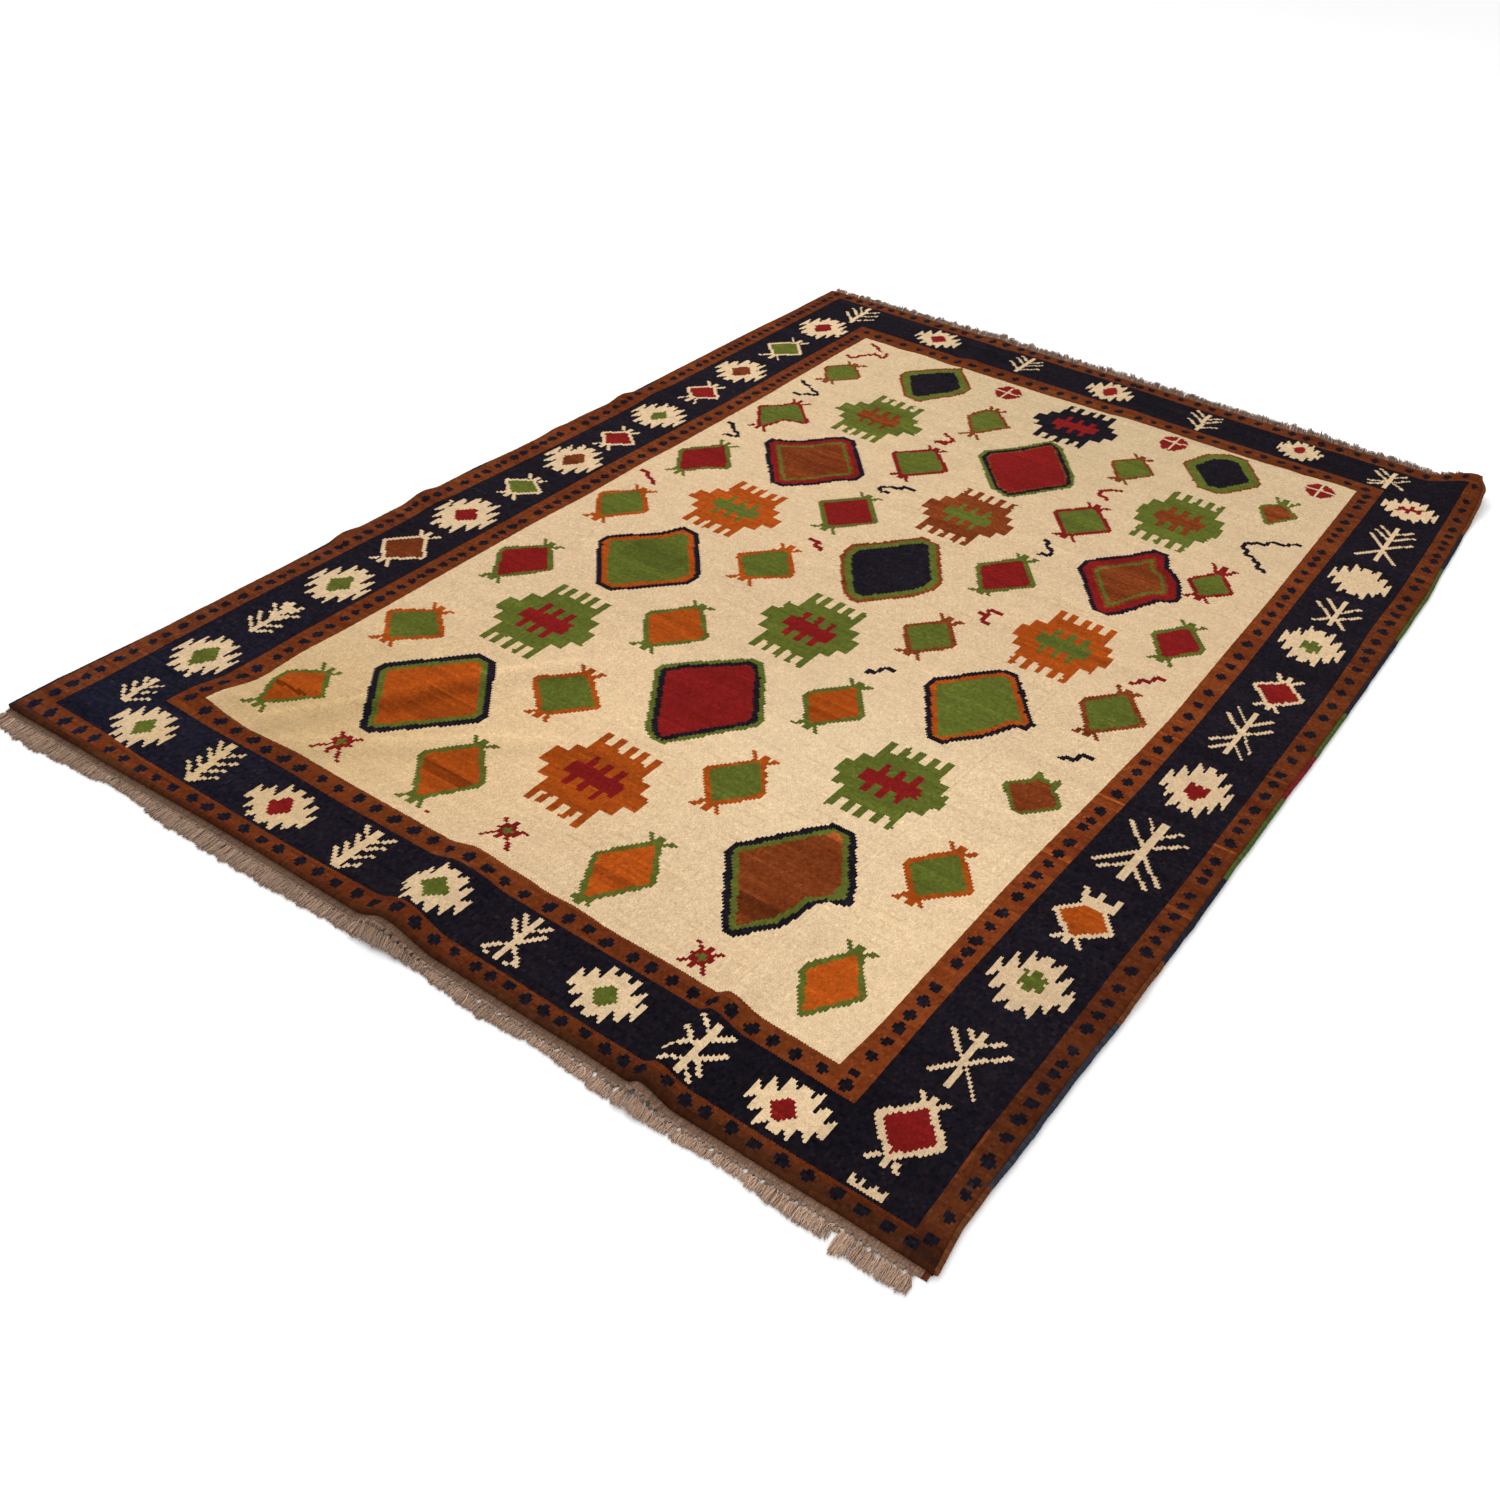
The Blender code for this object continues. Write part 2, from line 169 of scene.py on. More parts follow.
# Where the weaver's border lines run, in millimetres: (y, x) pairs for the upright ones, then (x, y) pairs
borderLines = {
    "navyLeft": [(0, 40), (150, 42), (300, 38), (500, 35), (700, 36), (850, 35), (920, 29), (980, 33),
                 (1100, 37), (1200, 40), (1300, 43), (1450, 44), (1560, 43), (1620, 35), (1680, 41),
                 (1850, 40), (2250, 39), (2450, 37)],
    "innerLeft": [(170, 168), (240, 170), (265, 181), (330, 183), (450, 179), (1250, 179), (1500, 183),
                  (1700, 186), (1850, 184), (2000, 182), (2300, 181)],
    "fieldLeft": [(215, 212), (255, 212), (285, 229), (330, 231), (400, 225), (500, 229), (800, 227),
                  (1000, 226), (1150, 231), (1350, 228), (1450, 232), (1800, 233), (1900, 230),
                  (2100, 227), (2250, 227)],
    "fieldRight": [(205, 1436), (270, 1441), (400, 1443), (600, 1446), (710, 1449), (890, 1458),
                   (1060, 1465), (1200, 1469), (1450, 1466), (1700, 1464), (1850, 1461),
                   (2050, 1457), (2250, 1452)],
    "innerRight": [(155, 1485), (400, 1487), (600, 1493), (830, 1501), (950, 1507), (1200, 1512),
                   (1450, 1512), (1680, 1507), (1850, 1505), (2100, 1502), (2300, 1498)],
    "navyRight": [(0, 1640), (200, 1637), (350, 1642), (600, 1646), (830, 1652), (1100, 1656),
                  (1400, 1659), (1600, 1656), (1700, 1652), (1850, 1654), (2050, 1650),
                  (2200, 1645), (2300, 1642), (2450, 1640)],
    "navyNear": [(40, 64), (190, 63), (260, 58), (600, 57), (740, 61), (830, 62), (880, 58),
                 (1000, 55), (1120, 51), (1250, 48), (1360, 45), (1480, 42), (1640, 40)],
    "innerNear": [(170, 176), (300, 173), (450, 175), (560, 171), (830, 171), (860, 175), (950, 172),
                  (1100, 168), (1240, 164), (1300, 162), (1400, 159), (1485, 154)],
    "fieldNear": [(212, 221), (250, 216), (330, 208), (440, 215), (540, 212), (760, 210), (860, 212),
                  (895, 217), (950, 211), (990, 214), (1060, 207), (1180, 206), (1240, 203),
                  (1300, 203), (1420, 198), (1440, 197)],
    "fieldFar": [(229, 2235), (290, 2237), (342, 2234), (372, 2242), (407, 2242), (442, 2237),
                 (500, 2241), (725, 2242), (800, 2247), (883, 2247), (906, 2255), (1006, 2255),
                 (1095, 2251), (1250, 2251), (1295, 2255), (1330, 2253), (1406, 2261), (1452, 2257)],
    "innerFar": [(181, 2293), (474, 2291), (484, 2302), (548, 2300), (850, 2300), (906, 2307),
                 (1000, 2302), (1240, 2300), (1360, 2303), (1498, 2303)],
    "navyFar": [(38, 2414), (300, 2414), (450, 2417), (490, 2415), (530, 2418), (560, 2421),
                (840, 2423), (890, 2421), (1000, 2418), (1240, 2416), (1360, 2417), (1540, 2415),
                (1650, 2416)],
}

# The column or row of knots that each border line follows
lineColumns = {
    "navyLeft": 11, "innerLeft": 42, "fieldLeft": 53, "fieldRight": 325, "innerRight": 335, "navyRight": 369,
}
lineRows = {
    "navyNear": 7, "innerNear": 27, "fieldNear": 34, "fieldFar": 398, "innerFar": 408, "navyFar": 429,
}


# How far the low ridges push the pattern away from the eye, in metres. The pattern near the high ridges
# is charted where it really lies, so they are left out.
def seenShift(x, y):
    raised = np.zeros(np.shape(x))
    for ridge in ridges[highRidgeRows:]:
        raised = np.maximum(raised, ridgeHeight(ridge, x, y))
    eyeX, eyeY, eyeZ = photoView["place"]
    share = raised / (eyeZ - sheetSizes["thickness"] - raised)
    return (x - eyeX) * share, (y - eyeY) * share


# Drags lines of the sheet so that each border line of the pattern lies where the photograph has it,
# smoothed over a few knots to either side
def dragLines(start, step, count, straight, x, y, lines, alongX, smoothing=4):
    places = (straight - start) / step
    moves = [np.zeros(y.shape[1] if alongX else x.shape[0])]
    for name, number in lines.items():
        nearest = int(np.argmin(np.abs(places - number)))
        lineX, lineY = (x[nearest], y[nearest]) if alongX else (x[:, nearest], y[:, nearest])
        shiftX, shiftY = seenShift(lineX, lineY)
        along, across = (lineX + shiftX, lineY) if alongX else (lineY + shiftY, lineX)
        wanted = 0.001 * edgeLine(borderLines[name], 1000.0 * along) - (shiftY if alongX else shiftX)
        moves.append(wanted - (across + (number - places[nearest]) * step))
    moves = np.array(moves + moves[:1])
    padded = np.pad(moves, ((0, 0), (smoothing, smoothing)), mode="edge")
    moves = np.mean([padded[:, shift:shift + moves.shape[1]] for shift in range(2 * smoothing + 1)], axis=0)
    controls = [0.0, *map(float, lines.values()), float(count)]
    weights = np.array([np.interp(places, controls, corner) for corner in np.eye(len(controls))])
    return weights.T @ moves if alongX else (weights.T @ moves).T


# The rug's real places of a grid of straight lines
def rugGrid(straightX, straightY):
    x, y = planPoint(*np.meshgrid(straightX, straightY))
    moveX = dragLines(sidesX[0], knotWidth, knotChart["columns"], straightX, x, y, lineColumns, False)
    moveY = dragLines(endsY[0], knotHeight, knotChart["rows"], straightY, x, y, lineRows, True)
    return x + moveX, y + moveY


knotRandom = np.random.default_rng(knotChart["seed"])
lieX, lieY = rugGrid(
    sheetSizes["left"] + knotWidth * (np.arange(knotChart["columns"]) + 0.5),
    sheetSizes["near"] + knotHeight * (np.arange(knotChart["rows"]) + 0.5),
)
# The motifs below are placed as the photograph shows them, so each knot's seen place is what counts
knotX, knotY = (1000.0 * (lie + shift) for lie, shift in zip((lieX, lieY), seenShift(lieX, lieY)))
knotX += knotRandom.uniform(-1.0, 1.0, knotX.shape) * knotChart["raggedness"]
knotY += knotRandom.uniform(-1.0, 1.0, knotY.shape) * knotChart["raggedness"]
chart = np.full(knotX.shape, dyes.index("brown"))
print("chart of", chart.shape[1], "by", chart.shape[0], "knots")


# The rows and columns that may hold a motif, with some room for the wandering outline
def knotsNear(points, room=0.045):
    window = []
    for axis, start, step in ((1, endsY[0], knotHeight), (0, sidesX[0], knotWidth)):
        values = [point[axis] / 1000.0 for point in points]
        first, last = (min(values) - room - start) / step, (max(values) + room - start) / step
        window.append(slice(max(int(first), 0), max(int(last), 0) + 1))
    return tuple(window)


def insideShape(points, x, y):
    inside = np.zeros(x.shape, bool)
    for (x0, y0), (x1, y1) in zip(points, points[1:] + points[:1]):
        if y0 != y1:
            crosses = (y0 > y) != (y1 > y)
            inside ^= crosses & (x < x0 + (x1 - x0) * (y - y0) / (y1 - y0))
    return inside


def distanceToLine(points, x, y):
    nearest = np.full(x.shape, 1.0e9)
    for (x0, y0), (x1, y1) in zip(points, points[1:]):
        lengthSquared = (x1 - x0) ** 2 + (y1 - y0) ** 2
        along = ((x - x0) * (x1 - x0) + (y - y0) * (y1 - y0)) / lengthSquared
        along = np.clip(along, 0.0, 1.0)
        away = np.hypot(x - x0 - along * (x1 - x0), y - y0 - along * (y1 - y0))
        nearest = np.minimum(nearest, away)
    return nearest


# A closed outline in one dye, with bands of other dyes inside its edge, the outer band first
def paintShape(points, dye, bands=()):
    window = knotsNear(points)
    x, y = knotX[window], knotY[window]
    inside = insideShape(points, x, y)
    chart[window][inside] = dyes.index(dye)
    if bands:
        depth = distanceToLine(points + points[:1], x, y)
        start = 0.0
        for bandWidth, bandDye in bands:
            band = inside & (depth >= start) & (depth < start + bandWidth)
            chart[window][band] = dyes.index(bandDye)
            start += bandWidth


def box(left, right, low, high):
    return [(left, low), (right, low), (right, high), (left, high)]


# A lozenge whose top and bottom are cut off at some width to either side of its middle
def lozenge(x, y, halfWidth, halfHeight, cut):
    return [(x - halfWidth, y), (x - cut, y + halfHeight), (x + cut, y + halfHeight),
            (x + halfWidth, y), (x + cut, y - halfHeight), (x - cut, y - halfHeight)]


# A diamond between its left and right sides and its tips, all cut off a little
def diamond(left, right, middle, top, bottom, sideCut, topCut, bottomCut):
    return [(left, middle - sideCut), (left, middle + sideCut), (top[0] - topCut, top[1]),
            (top[0] + topCut, top[1]), (right, middle + sideCut), (right, middle - sideCut),
            (bottom[0] + bottomCut, bottom[1]), (bottom[0] - bottomCut, bottom[1])]


# The column and row, with fractions, that lie at a place on the rug
def chartPlace(x, y):
    column = (0.001 * x - sidesX[0]) / knotWidth
    row = (0.001 * y - endsY[0]) / knotHeight
    for _ in range(4):  # comes nearer each time
        nearestRow = min(max(int(row), 0), knotChart["rows"] - 1)
        nearestColumn = min(max(int(column), 0), knotChart["columns"] - 1)
        column = nearestColumn + 0.5 + 0.001 * (x - knotX[nearestRow, nearestColumn]) / knotWidth
        row = nearestRow + 0.5 + 0.001 * (y - knotY[nearestRow, nearestColumn]) / knotHeight
    return column, row


def paintKnots(row, column, tall, wide, dye):
    chart[max(row, 0):max(row + tall, 0), max(column, 0):max(column + wide, 0)] = dyes.index(dye)


# The whole knots between two fractional places, at least one
def knotSpan(first, last):
    low = round(min(first, last))
    return range(low, max(round(max(first, last)), low + 1))


# How the width of a stroke that leans to the right steps from row to row, on the two halves of the rug
strokeSteps = {"middleX": 700, "left": (0.30, 0.85, 0.55), "right": (0.50, 0.95, 0.75)}


# A stroke keeps the same number of knots in each row, or in each column when it runs across
def paintLine(points, width, dye):
    for (x0, y0), (x1, y1) in zip(points, points[1:]):
        (column0, row0), (column1, row1) = chartPlace(x0, y0), chartPlace(x1, y1)
        length = math.hypot(x1 - x0, y1 - y0)
        if abs(y1 - y0) > 0.5 * abs(x1 - x0):  # steep enough to be counted by rows
            exact = 0.001 * width * length / abs(y1 - y0) / knotWidth
            leansRight = (x1 - x0) * (y1 - y0) > 0.3 * (y1 - y0) ** 2
            steps = strokeSteps["left" if x0 < strokeSteps["middleX"] else "right"]
            for row in knotSpan(row0, row1):
                share = (row + 0.5 - row0) / (row1 - row0)
                wide = max(int(exact + steps[row % 3]) if leansRight else round(exact), 1)
                paintKnots(row, round(column0 + (column1 - column0) * share - 0.5 * wide), 1, wide, dye)
        else:
            tall = max(round(0.001 * width * length / abs(x1 - x0) / knotHeight), 1)
            for column in knotSpan(column0, column1):
                share = (column + 0.5 - column0) / (column1 - column0)
                paintKnots(round(row0 + (row1 - row0) * share - 0.5 * tall), column, tall, 1, dye)


# Three frames inside each other, each from one border line to its match
for line, dye in (("navy", "navy"), ("inner", "brown"), ("field", "cream")):
    chart[lineRows[line + "Near"]:lineRows[line + "Far"],
          lineColumns[line + "Left"]:lineColumns[line + "Right"]] = dyes.index(dye)

# Navy dots along the brown guards: the knots in each row of a dot, the line that the dots follow, and
# where each one comes. Where they come close together they are smaller.
leftDots = [1212, 1242, 1270, 1298, 1328, 1364, 1403, 1441, 1476, 1512, 1542, 1569, 1601, 1642, 1682,
            1719, 1752, 1786, 1820, 1851, 1878, 1901, 1924, 1947, 1974, 1997, 2024, 2051, 2078, 2103,
            2128, 2156, 2181, 2204, 2225]
guardDots = {
    "closeRoom": 27,
    "closeRows": [(3, 4, 3), (2, 4, 3), (3, 4, 2)],
    "rows": [(2, 4, 4, 2), (2, 4, 4, 2), (3, 4, 4, 2), (2, 4, 4, 3), (2, 4, 3), (3, 4, 4), (3, 5, 4, 2)],
    "corners": [(1452, 1465, 190, 201), (1635, 1652, 13, 28), (1653, 1668, 30, 44)],
    "alongX": [
        ([(17, 41), (600, 42), (838, 45), (1100, 39), (1350, 31), (1640, 23)],
         [17, 57, 92, 130, 165, 205, 240, 277, 314, 352, 392, 427, 463, 505, 543, 578, 620, 655,
          695, 733, 768, 812, 848, 880, 918, 960, 985, 1015, 1050, 1080, 1110, 1148, 1185, 1215,
          1243, 1284, 1316, 1347, 1385, 1422, 1462, 1500, 1540, 1575, 1612]),
        ([(188, 212), (215, 198), (300, 193), (700, 192), (812, 190), (1060, 188), (1210, 184),
          (1350, 180), (1460, 175)],
         [188, 236, 275, 313, 352, 385, 423, 460, 505, 540, 580, 620, 658, 698, 737, 770, 812,
          845, 877, 915, 960, 995, 1030, 1067, 1112, 1143, 1180, 1215, 1245, 1280, 1312, 1347,
          1383, 1420, 1460]),
        ([(19, 2432), (440, 2436), (600, 2442), (900, 2440), (1560, 2437)],
         [19, 54, 88, 122, 148, 181, 213, 248, 285, 325, 360, 395, 431, 472, 510, 550, 584, 622,
          657, 695, 736, 772, 813, 851, 868, 898, 936, 973, 1012, 1050, 1089, 1124, 1165, 1206,
          1242, 1280, 1317, 1356, 1396, 1436, 1472, 1513, 1553, 1592, 1628]),
        ([(200, 2264), (470, 2264), (502, 2272), (900, 2276), (1460, 2280)],
         [208, 245, 278, 318, 360, 398, 433, 469, 505, 548, 581, 622, 660, 698, 738, 778, 813,
          852, 887, 937, 973, 1012, 1050, 1089, 1124, 1165, 1200, 1236, 1274, 1310, 1342, 1382,
          1424, 1464]),
    ],
    "alongY": [
        ([(60, 16), (850, 13), (920, 1), (990, 10), (1500, 19), (1600, 12), (1700, 20), (2420, 17)],
         [82, 114, 142, 168, 207, 234, 272, 299, 336, 373, 398, 430, 466, 498, 526, 554, 578, 612,
          639, 668, 693, 715, 741, 771, 800, 825, 855, 882, 908, 936, 964, 994, 1033, 1071, 1100,
          1129, 1156, 1184, *leftDots, 2247, 2269, 2292, 2321, 2344, 2371, 2397]),
        ([(240, 190), (300, 206), (600, 202), (1800, 208), (2220, 204)],
         [241, 270, 299, 332, 374, 399, 431, 464, 496, 529, 556, 582, 613, 641, 666, 693, 715,
          743, 771, 798, 825, 852, 881, 909, 936, 964, 993, 1034, 1068, 1096, 1122, 1152, 1182,
          *leftDots]),
        ([(170, 1458), (300, 1465), (600, 1468), (900, 1481), (1200, 1492), (1700, 1485), (2250, 1475)],
         [232, 267, 299, 330, 363, 394, 453, 481, 510, 546, 582, 628, 658, 684, 721, 754,
          784, 832, 858, 889, 945, 982, 1015, 1049, 1099, 1134, 1172, 1219, 1266, 1312, 1376,
          1416, 1460, 1512, 1561, 1601, 1642, 1681, 1717, 1754, 1796, 1835, 1875, 1908, 1941,
          1998, 2026, 2057, 2098, 2136, 2181, 2215, 2247]),
        ([(38, 1661), (300, 1661), (700, 1668), (1250, 1675), (1700, 1674), (2100, 1670), (2420, 1655)],
         [78, 117, 142, 181, 221, 260, 293, 322, 353, 377, 401, 454, 483, 510, 546, 589, 637, 669,
          696, 729, 760, 786, 832, 856, 889, 943, 982, 1009, 1043, 1091, 1129, 1165, 1212, 1255,
          1306, 1366, 1414, 1466, 1512, 1557, 1603, 1634, 1672, 1717, 1757, 1795, 1832, 1872,
          1924, 1962, 2015, 2059, 2088, 2126, 2150, 2185, 2224, 2271, 2310, 2345, 2403]),
    ],
}
dotRandom = np.random.default_rng(9)


def paintDot(x, y, room=math.inf):
    column, row = chartPlace(x, y)
    kinds = guardDots["rows"] if room > guardDots["closeRoom"] else guardDots["closeRows"]
    widths = kinds[dotRandom.integers(len(kinds))]
    first = round(row - 0.5 * len(widths))
    for step, wide in enumerate(widths):
        paintKnots(first + step, round(column - 0.5 * wide + 0.1), 1, wide, "navy")


for line, stops in guardDots["alongX"]:
    for stop in stops:
        paintDot(stop, float(edgeLine(line, stop)))
for line, stops in guardDots["alongY"]:
    for number, stop in enumerate(stops):
        others = stops[max(number - 1, 0):number] + stops[number + 1:number + 2]
        paintDot(float(edgeLine(line, stop)), stop, min(abs(other - stop) for other in others))
for corner in guardDots["corners"]:
    paintShape(box(*corner), "navy")

# Large stepped diamonds: outline, bands from the edge inwards, fill
largeDiamonds = (
    ([(454, 597), (492, 598), (588, 476), (591, 450), (478, 322), (452, 321), (354, 448), (353, 474)],
     [(12.5, "navy"), (10.3, "green")], "orange"),
    ([(1173, 601), (1212, 601), (1253, 532), (1271, 505), (1280, 488), (1290, 464), (1290, 449),
      (1268, 438), (1250, 423), (1247, 396), (1236, 358), (1206, 317), (1192, 299), (1177, 299),
      (1080, 444), (1080, 464)], [(11.4, "navy"), (9.6, "green")], "brown"),
    ([(454, 1181), (492, 1178), (589, 1052), (592, 1016), (497, 900), (457, 905), (362, 1028),
      (362, 1052), (366, 1058), (396, 1092), (433, 1131), (444, 1157)],
     [(10.3, "navy"), (11.4, "orange")], "green"),
    ([(1180, 1143), (1209, 1143), (1283, 1046), (1298, 1028), (1296, 1005), (1274, 999), (1265, 975),
      (1251, 946), (1206, 887), (1201, 879), (1174, 879), (1093, 1013), (1093, 1034), (1151, 1113)],
     [(10.3, "navy"), (9.2, "orange")], "green"),
    ([(477, 1732), (507, 1732), (610, 1607), (610, 1578), (578, 1542), (548, 1495), (507, 1451),
      (478, 1446), (365, 1589), (365, 1619), (395, 1633), (419, 1654), (451, 1701)],
     [(10.3, "navy"), (11.4, "red"), (4.8, "brown"), (5.9, "green")], "brown"),
    ([(1213, 1722), (1245, 1722), (1268, 1672), (1289, 1657), (1312, 1625), (1330, 1583),
      (1330, 1560), (1301, 1539), (1289, 1513), (1280, 1489), (1265, 1454), (1245, 1428),
      (1215, 1428), (1124, 1557), (1124, 1592), (1177, 1660)],
     [(10.3, "navy"), (15.8, "red"), (5.9, "brown"), (7, "green")], "brown"),
    ([(495, 2239), (572, 2147), (572, 2121), (560, 2085), (542, 2056), (513, 2000), (472, 2002),
      (401, 2100), (401, 2126), (425, 2159), (451, 2194), (478, 2221)],
     [(7, "brown"), (16.9, "green")], "navy"),
    ([(1170, 2238), (1215, 2238), (1280, 2147), (1280, 2129), (1236, 2050), (1221, 2039),
      (1177, 2037), (1106, 2126), (1109, 2141), (1130, 2206)], [(5.9, "brown"), (19.1, "green")], "navy"),
    ([(822, 888), (845, 886), (874, 852), (906, 802), (939, 752), (941, 743), (941, 728), (927, 705),
      (860, 605), (850, 591), (828, 591), (806, 604), (713, 752), (713, 769), (737, 802)],
     [(9.2, "green"), (10.3, "navy")], "red"),
    ([(834, 1457), (874, 1455), (953, 1328), (951, 1289), (933, 1248), (918, 1228), (864, 1163),
      (850, 1163), (825, 1178), (784, 1232), (748, 1289), (745, 1316), (745, 1342), (784, 1389)],
     [(8.1, "brown"), (13.6, "green")], "navy"),
    ([(836, 2029), (850, 2024), (874, 2009), (951, 1906), (970, 1868), (969, 1847), (953, 1825),
      (895, 1731), (886, 1720), (856, 1730), (842, 1734), (748, 1848), (745, 1882), (795, 1950)],
     [(8.1, "green"), (9.2, "navy"), (3.7, "brown")], "red"),
)
for outline, bands, fill in largeDiamonds:
    paintShape(outline, fill, bands)
# A green notch in the right side of the brown one near the eye
paintShape([(1255, 508), (1263, 496), (1273, 480), (1270, 449), (1259, 438), (1258, 470)], "green")

# Comb medallions: centre x, y, height above, height below, skew, outer dye, inner dye, half width
combMedallions = (
    (824, 455, 105, 109, -0.08, "orange", "red", 99), (472, 748, 118, 111, 0.0, "green", "red", 99),
    (1191, 738, 102, 104, 0.07, "green", "red", 91), (845, 1030, 113, 111, -0.05, "green", "red", 96),
    (488, 1308, 105, 105, 0.0, "orange", "green", 102), (1227, 1281, 111, 112, 0.0, "orange", "green", 91),
    (862, 1592, 112, 112, 0.0, "brown", "green", 97), (489, 1862, 113, 111, 0.0, "green", "brown", 102),
    (1205, 1869, 125, 122, 0.0, "green", "brown", 88), (845, 2133, 100, 102, 0.08, "navy", "red", 96),
)
# Rectangles of one half: left, right, bottom and top as shares of its height. Those of the heart,
# which are painted last, have the inner dye.
combBlocks = [(offset - 6.5, offset + 6.5, 0.70, 1.0) for offset in (-50, -25, 0, 25, 50)]
combBlocks += [(-57, 57, 0.0, 0.73), (-78, 78, 0.0, 0.45)]
combHeart = [(offset - 6, offset + 6, 0.0, 0.41) for offset in (-27, 0.5, 28)] + [(-50, 50, 0.0, 0.16)]
combReach = (105, 130)  # half the area that holds a medallion
combArms = (0.0, 0.19)  # bottom and top of the widest arms, whose length is the half width


def paintCombMedallion(x, y, above, below, skew, outer, inner, halfWidth):
    window = knotsNear(box(x - combReach[0], x + combReach[0], y - combReach[1], y + combReach[1]))
    across = knotX[window] - x
    along = knotY[window] - y - skew * across
    share = np.where(along > 0.0, along / above, -along / below)
    for dye, blocks in ((outer, combBlocks + [(-halfWidth, halfWidth, *combArms)]), (inner, combHeart)):
        for left, right, low, high in blocks:
            held = (across >= left) & (across < right) & (share >= low) & (share < high)
            chart[window][held] = dyes.index(dye)


for medallion in combMedallions:
    paintCombMedallion(*medallion)


prongSizes = {"rootX": 9, "inside": 4, "reach": 15, "spread": 13.0, "widest": 1.1, "middleExtra": 3.0}


# Three small prongs at a diamond's tip; side is 1 above it and -1 below it
def paintProngs(x, y, side, dye, size, weight):
    spread = 10.0 + prongSizes["spread"] * min(size, prongSizes["widest"])
    rootY, tipY = y - prongSizes["inside"] * side, y + prongSizes["reach"] * side * size
    for lean in (-1, 1):
        paintLine([(x + prongSizes["rootX"] * lean, rootY), (x + spread * lean, tipY)], weight, dye)
    paintLine([(x, rootY), (x, tipY)], weight + prongSizes["middleExtra"], dye)


# A diamond with an edge and, where its prongs have a size, prongs at its top and its bottom
def paintHooked(outline, fill, edgeWidth, edgeDye, tips, sizes, weight):
    paintShape(outline, fill, [(edgeWidth, edgeDye)])
    for tip, side, size in zip(tips, (1, -1), sizes):
        if size:
            paintProngs(*tip, side, edgeDye, size, weight)


# Small hooked diamonds: left, right, their height, top, bottom, edge dye and fill, then the width of the
# edge and the sizes of the prongs above and below, where they aren't the usual ones
usualHooks = (9.5, 1.0, 1.0)
hookedDiamonds = (
    (572, 704, 335, (631, 408), (645, 249), "green", "orange"),
    (936, 1045, 318, (993, 394), (984, 229), "green", "orange", 9.5, 1.0, 0.5),
    (1302, 1400, 314, (1348, 385), (1349, 235), "green", "orange", 9.5, 1.0, 0.0),
    (242, 370, 596, (307, 652), (303, 529), "orange", "green"),
    (573, 711, 603, (636, 669), (648, 532), "orange", "green"),
    (941, 1053, 586, (999, 658), (999, 517), "orange", "green"),
    (1302, 1414, 592, (1356, 661), (1352, 529), "orange", "green"),
    (243, 366, 887, (306, 952), (303, 802), "green", "red"),
    (592, 726, 884, (653, 963), (657, 802), "green", "orange"),
    (949, 1062, 860, (1008, 934), (1002, 787), "green", "orange"),
    (243, 363, 1180, (301, 1245), (303, 1102), "orange", "green"),
    (597, 722, 1163, (660, 1242), (654, 1099), "orange", "green"),
    (971, 1078, 1152, (1027, 1216), (1024, 1084), "brown", "green"),
    (1325, 1443, 1146, (1380, 1216), (1377, 1069), "brown", "green"),
    (600, 735, 1446, (666, 1525), (669, 1366), "green", "red"),
    (969, 1093, 1434, (1030, 1513), (1024, 1351), "green", "red", 9.5, 1.0, 0.6),
    (1335, 1436, 1430, (1383, 1495), (1383, 1360), "green", "red"),
    (600, 733, 1739, (664, 1810), (668, 1657), "red", "green"),
    (989, 1115, 1733, (1048, 1804), (1051, 1657), "red", "green"),
    (1312, 1401, 1661, (1353, 1722), (1353, 1610), "red", "green", 9.0, 1.9, 1.0),
    (246, 342, 2019, (291, 2073), (292, 1959), "brown", "green", 7.5, 1.0, 1.0),
    (984, 1081, 2027, (1029, 2082), (1033, 1959), "brown", "green", 7.5, 1.0, 1.0),
    (1311, 1392, 2047, (1351, 2085), (1352, 1976), "green", "brown", 8.0, 1.9, 0.0),
)
for left, right, middle, top, bottom, edgeDye, fill, *unusual in hookedDiamonds:
    edgeWidth, *sizes = unusual or usualHooks
    outline = diamond(left, right, middle, top, bottom, 7, 8, 8 if sizes[1] else 4)
    paintHooked(outline, fill, edgeWidth, edgeDye, (top, bottom), sizes, 9.0)

# Hooked diamonds whose weaver drew them out of shape: outline, edge dye, fill, the tips with prongs
bentDiamonds = (
    ([(246, 326), (246, 360), (294, 397), (308, 397), (351, 343), (288, 267), (274, 267)],
     "green", "orange", [(301, 397), (281, 267)]),
    ([(1330, 847), (1330, 861), (1356, 888), (1360, 916), (1368, 916), (1373, 904), (1380, 908),
      (1388, 904), (1394, 916), (1402, 916), (1404, 888), (1430, 861), (1430, 847), (1388, 798),
      (1372, 798)], "green", "brown", []),
    ([(249, 1436), (249, 1450), (303, 1525), (319, 1525), (376, 1450), (376, 1436), (342, 1407),
      (312, 1363), (296, 1363)], "green", "red", [(311, 1525), (304, 1363)]),
    ([(252, 1727), (252, 1741), (283, 1772), (302, 1807), (318, 1807), (382, 1741), (382, 1727),
      (336, 1710), (328, 1678), (319, 1651), (303, 1651)], "red", "green", [(310, 1807), (311, 1651)]),
    ([(631, 2015), (636, 2038), (648, 2073), (675, 2085), (738, 2023), (719, 1991), (698, 1953),
      (686, 1932), (657, 1973)], "brown", "green", [(670, 2083), (687, 1936)]),
)
for outline, edgeDye, fill, tips in bentDiamonds:
    paintHooked(outline, fill, 8.5, edgeDye, tips, (1.0, 1.0), 6.6)

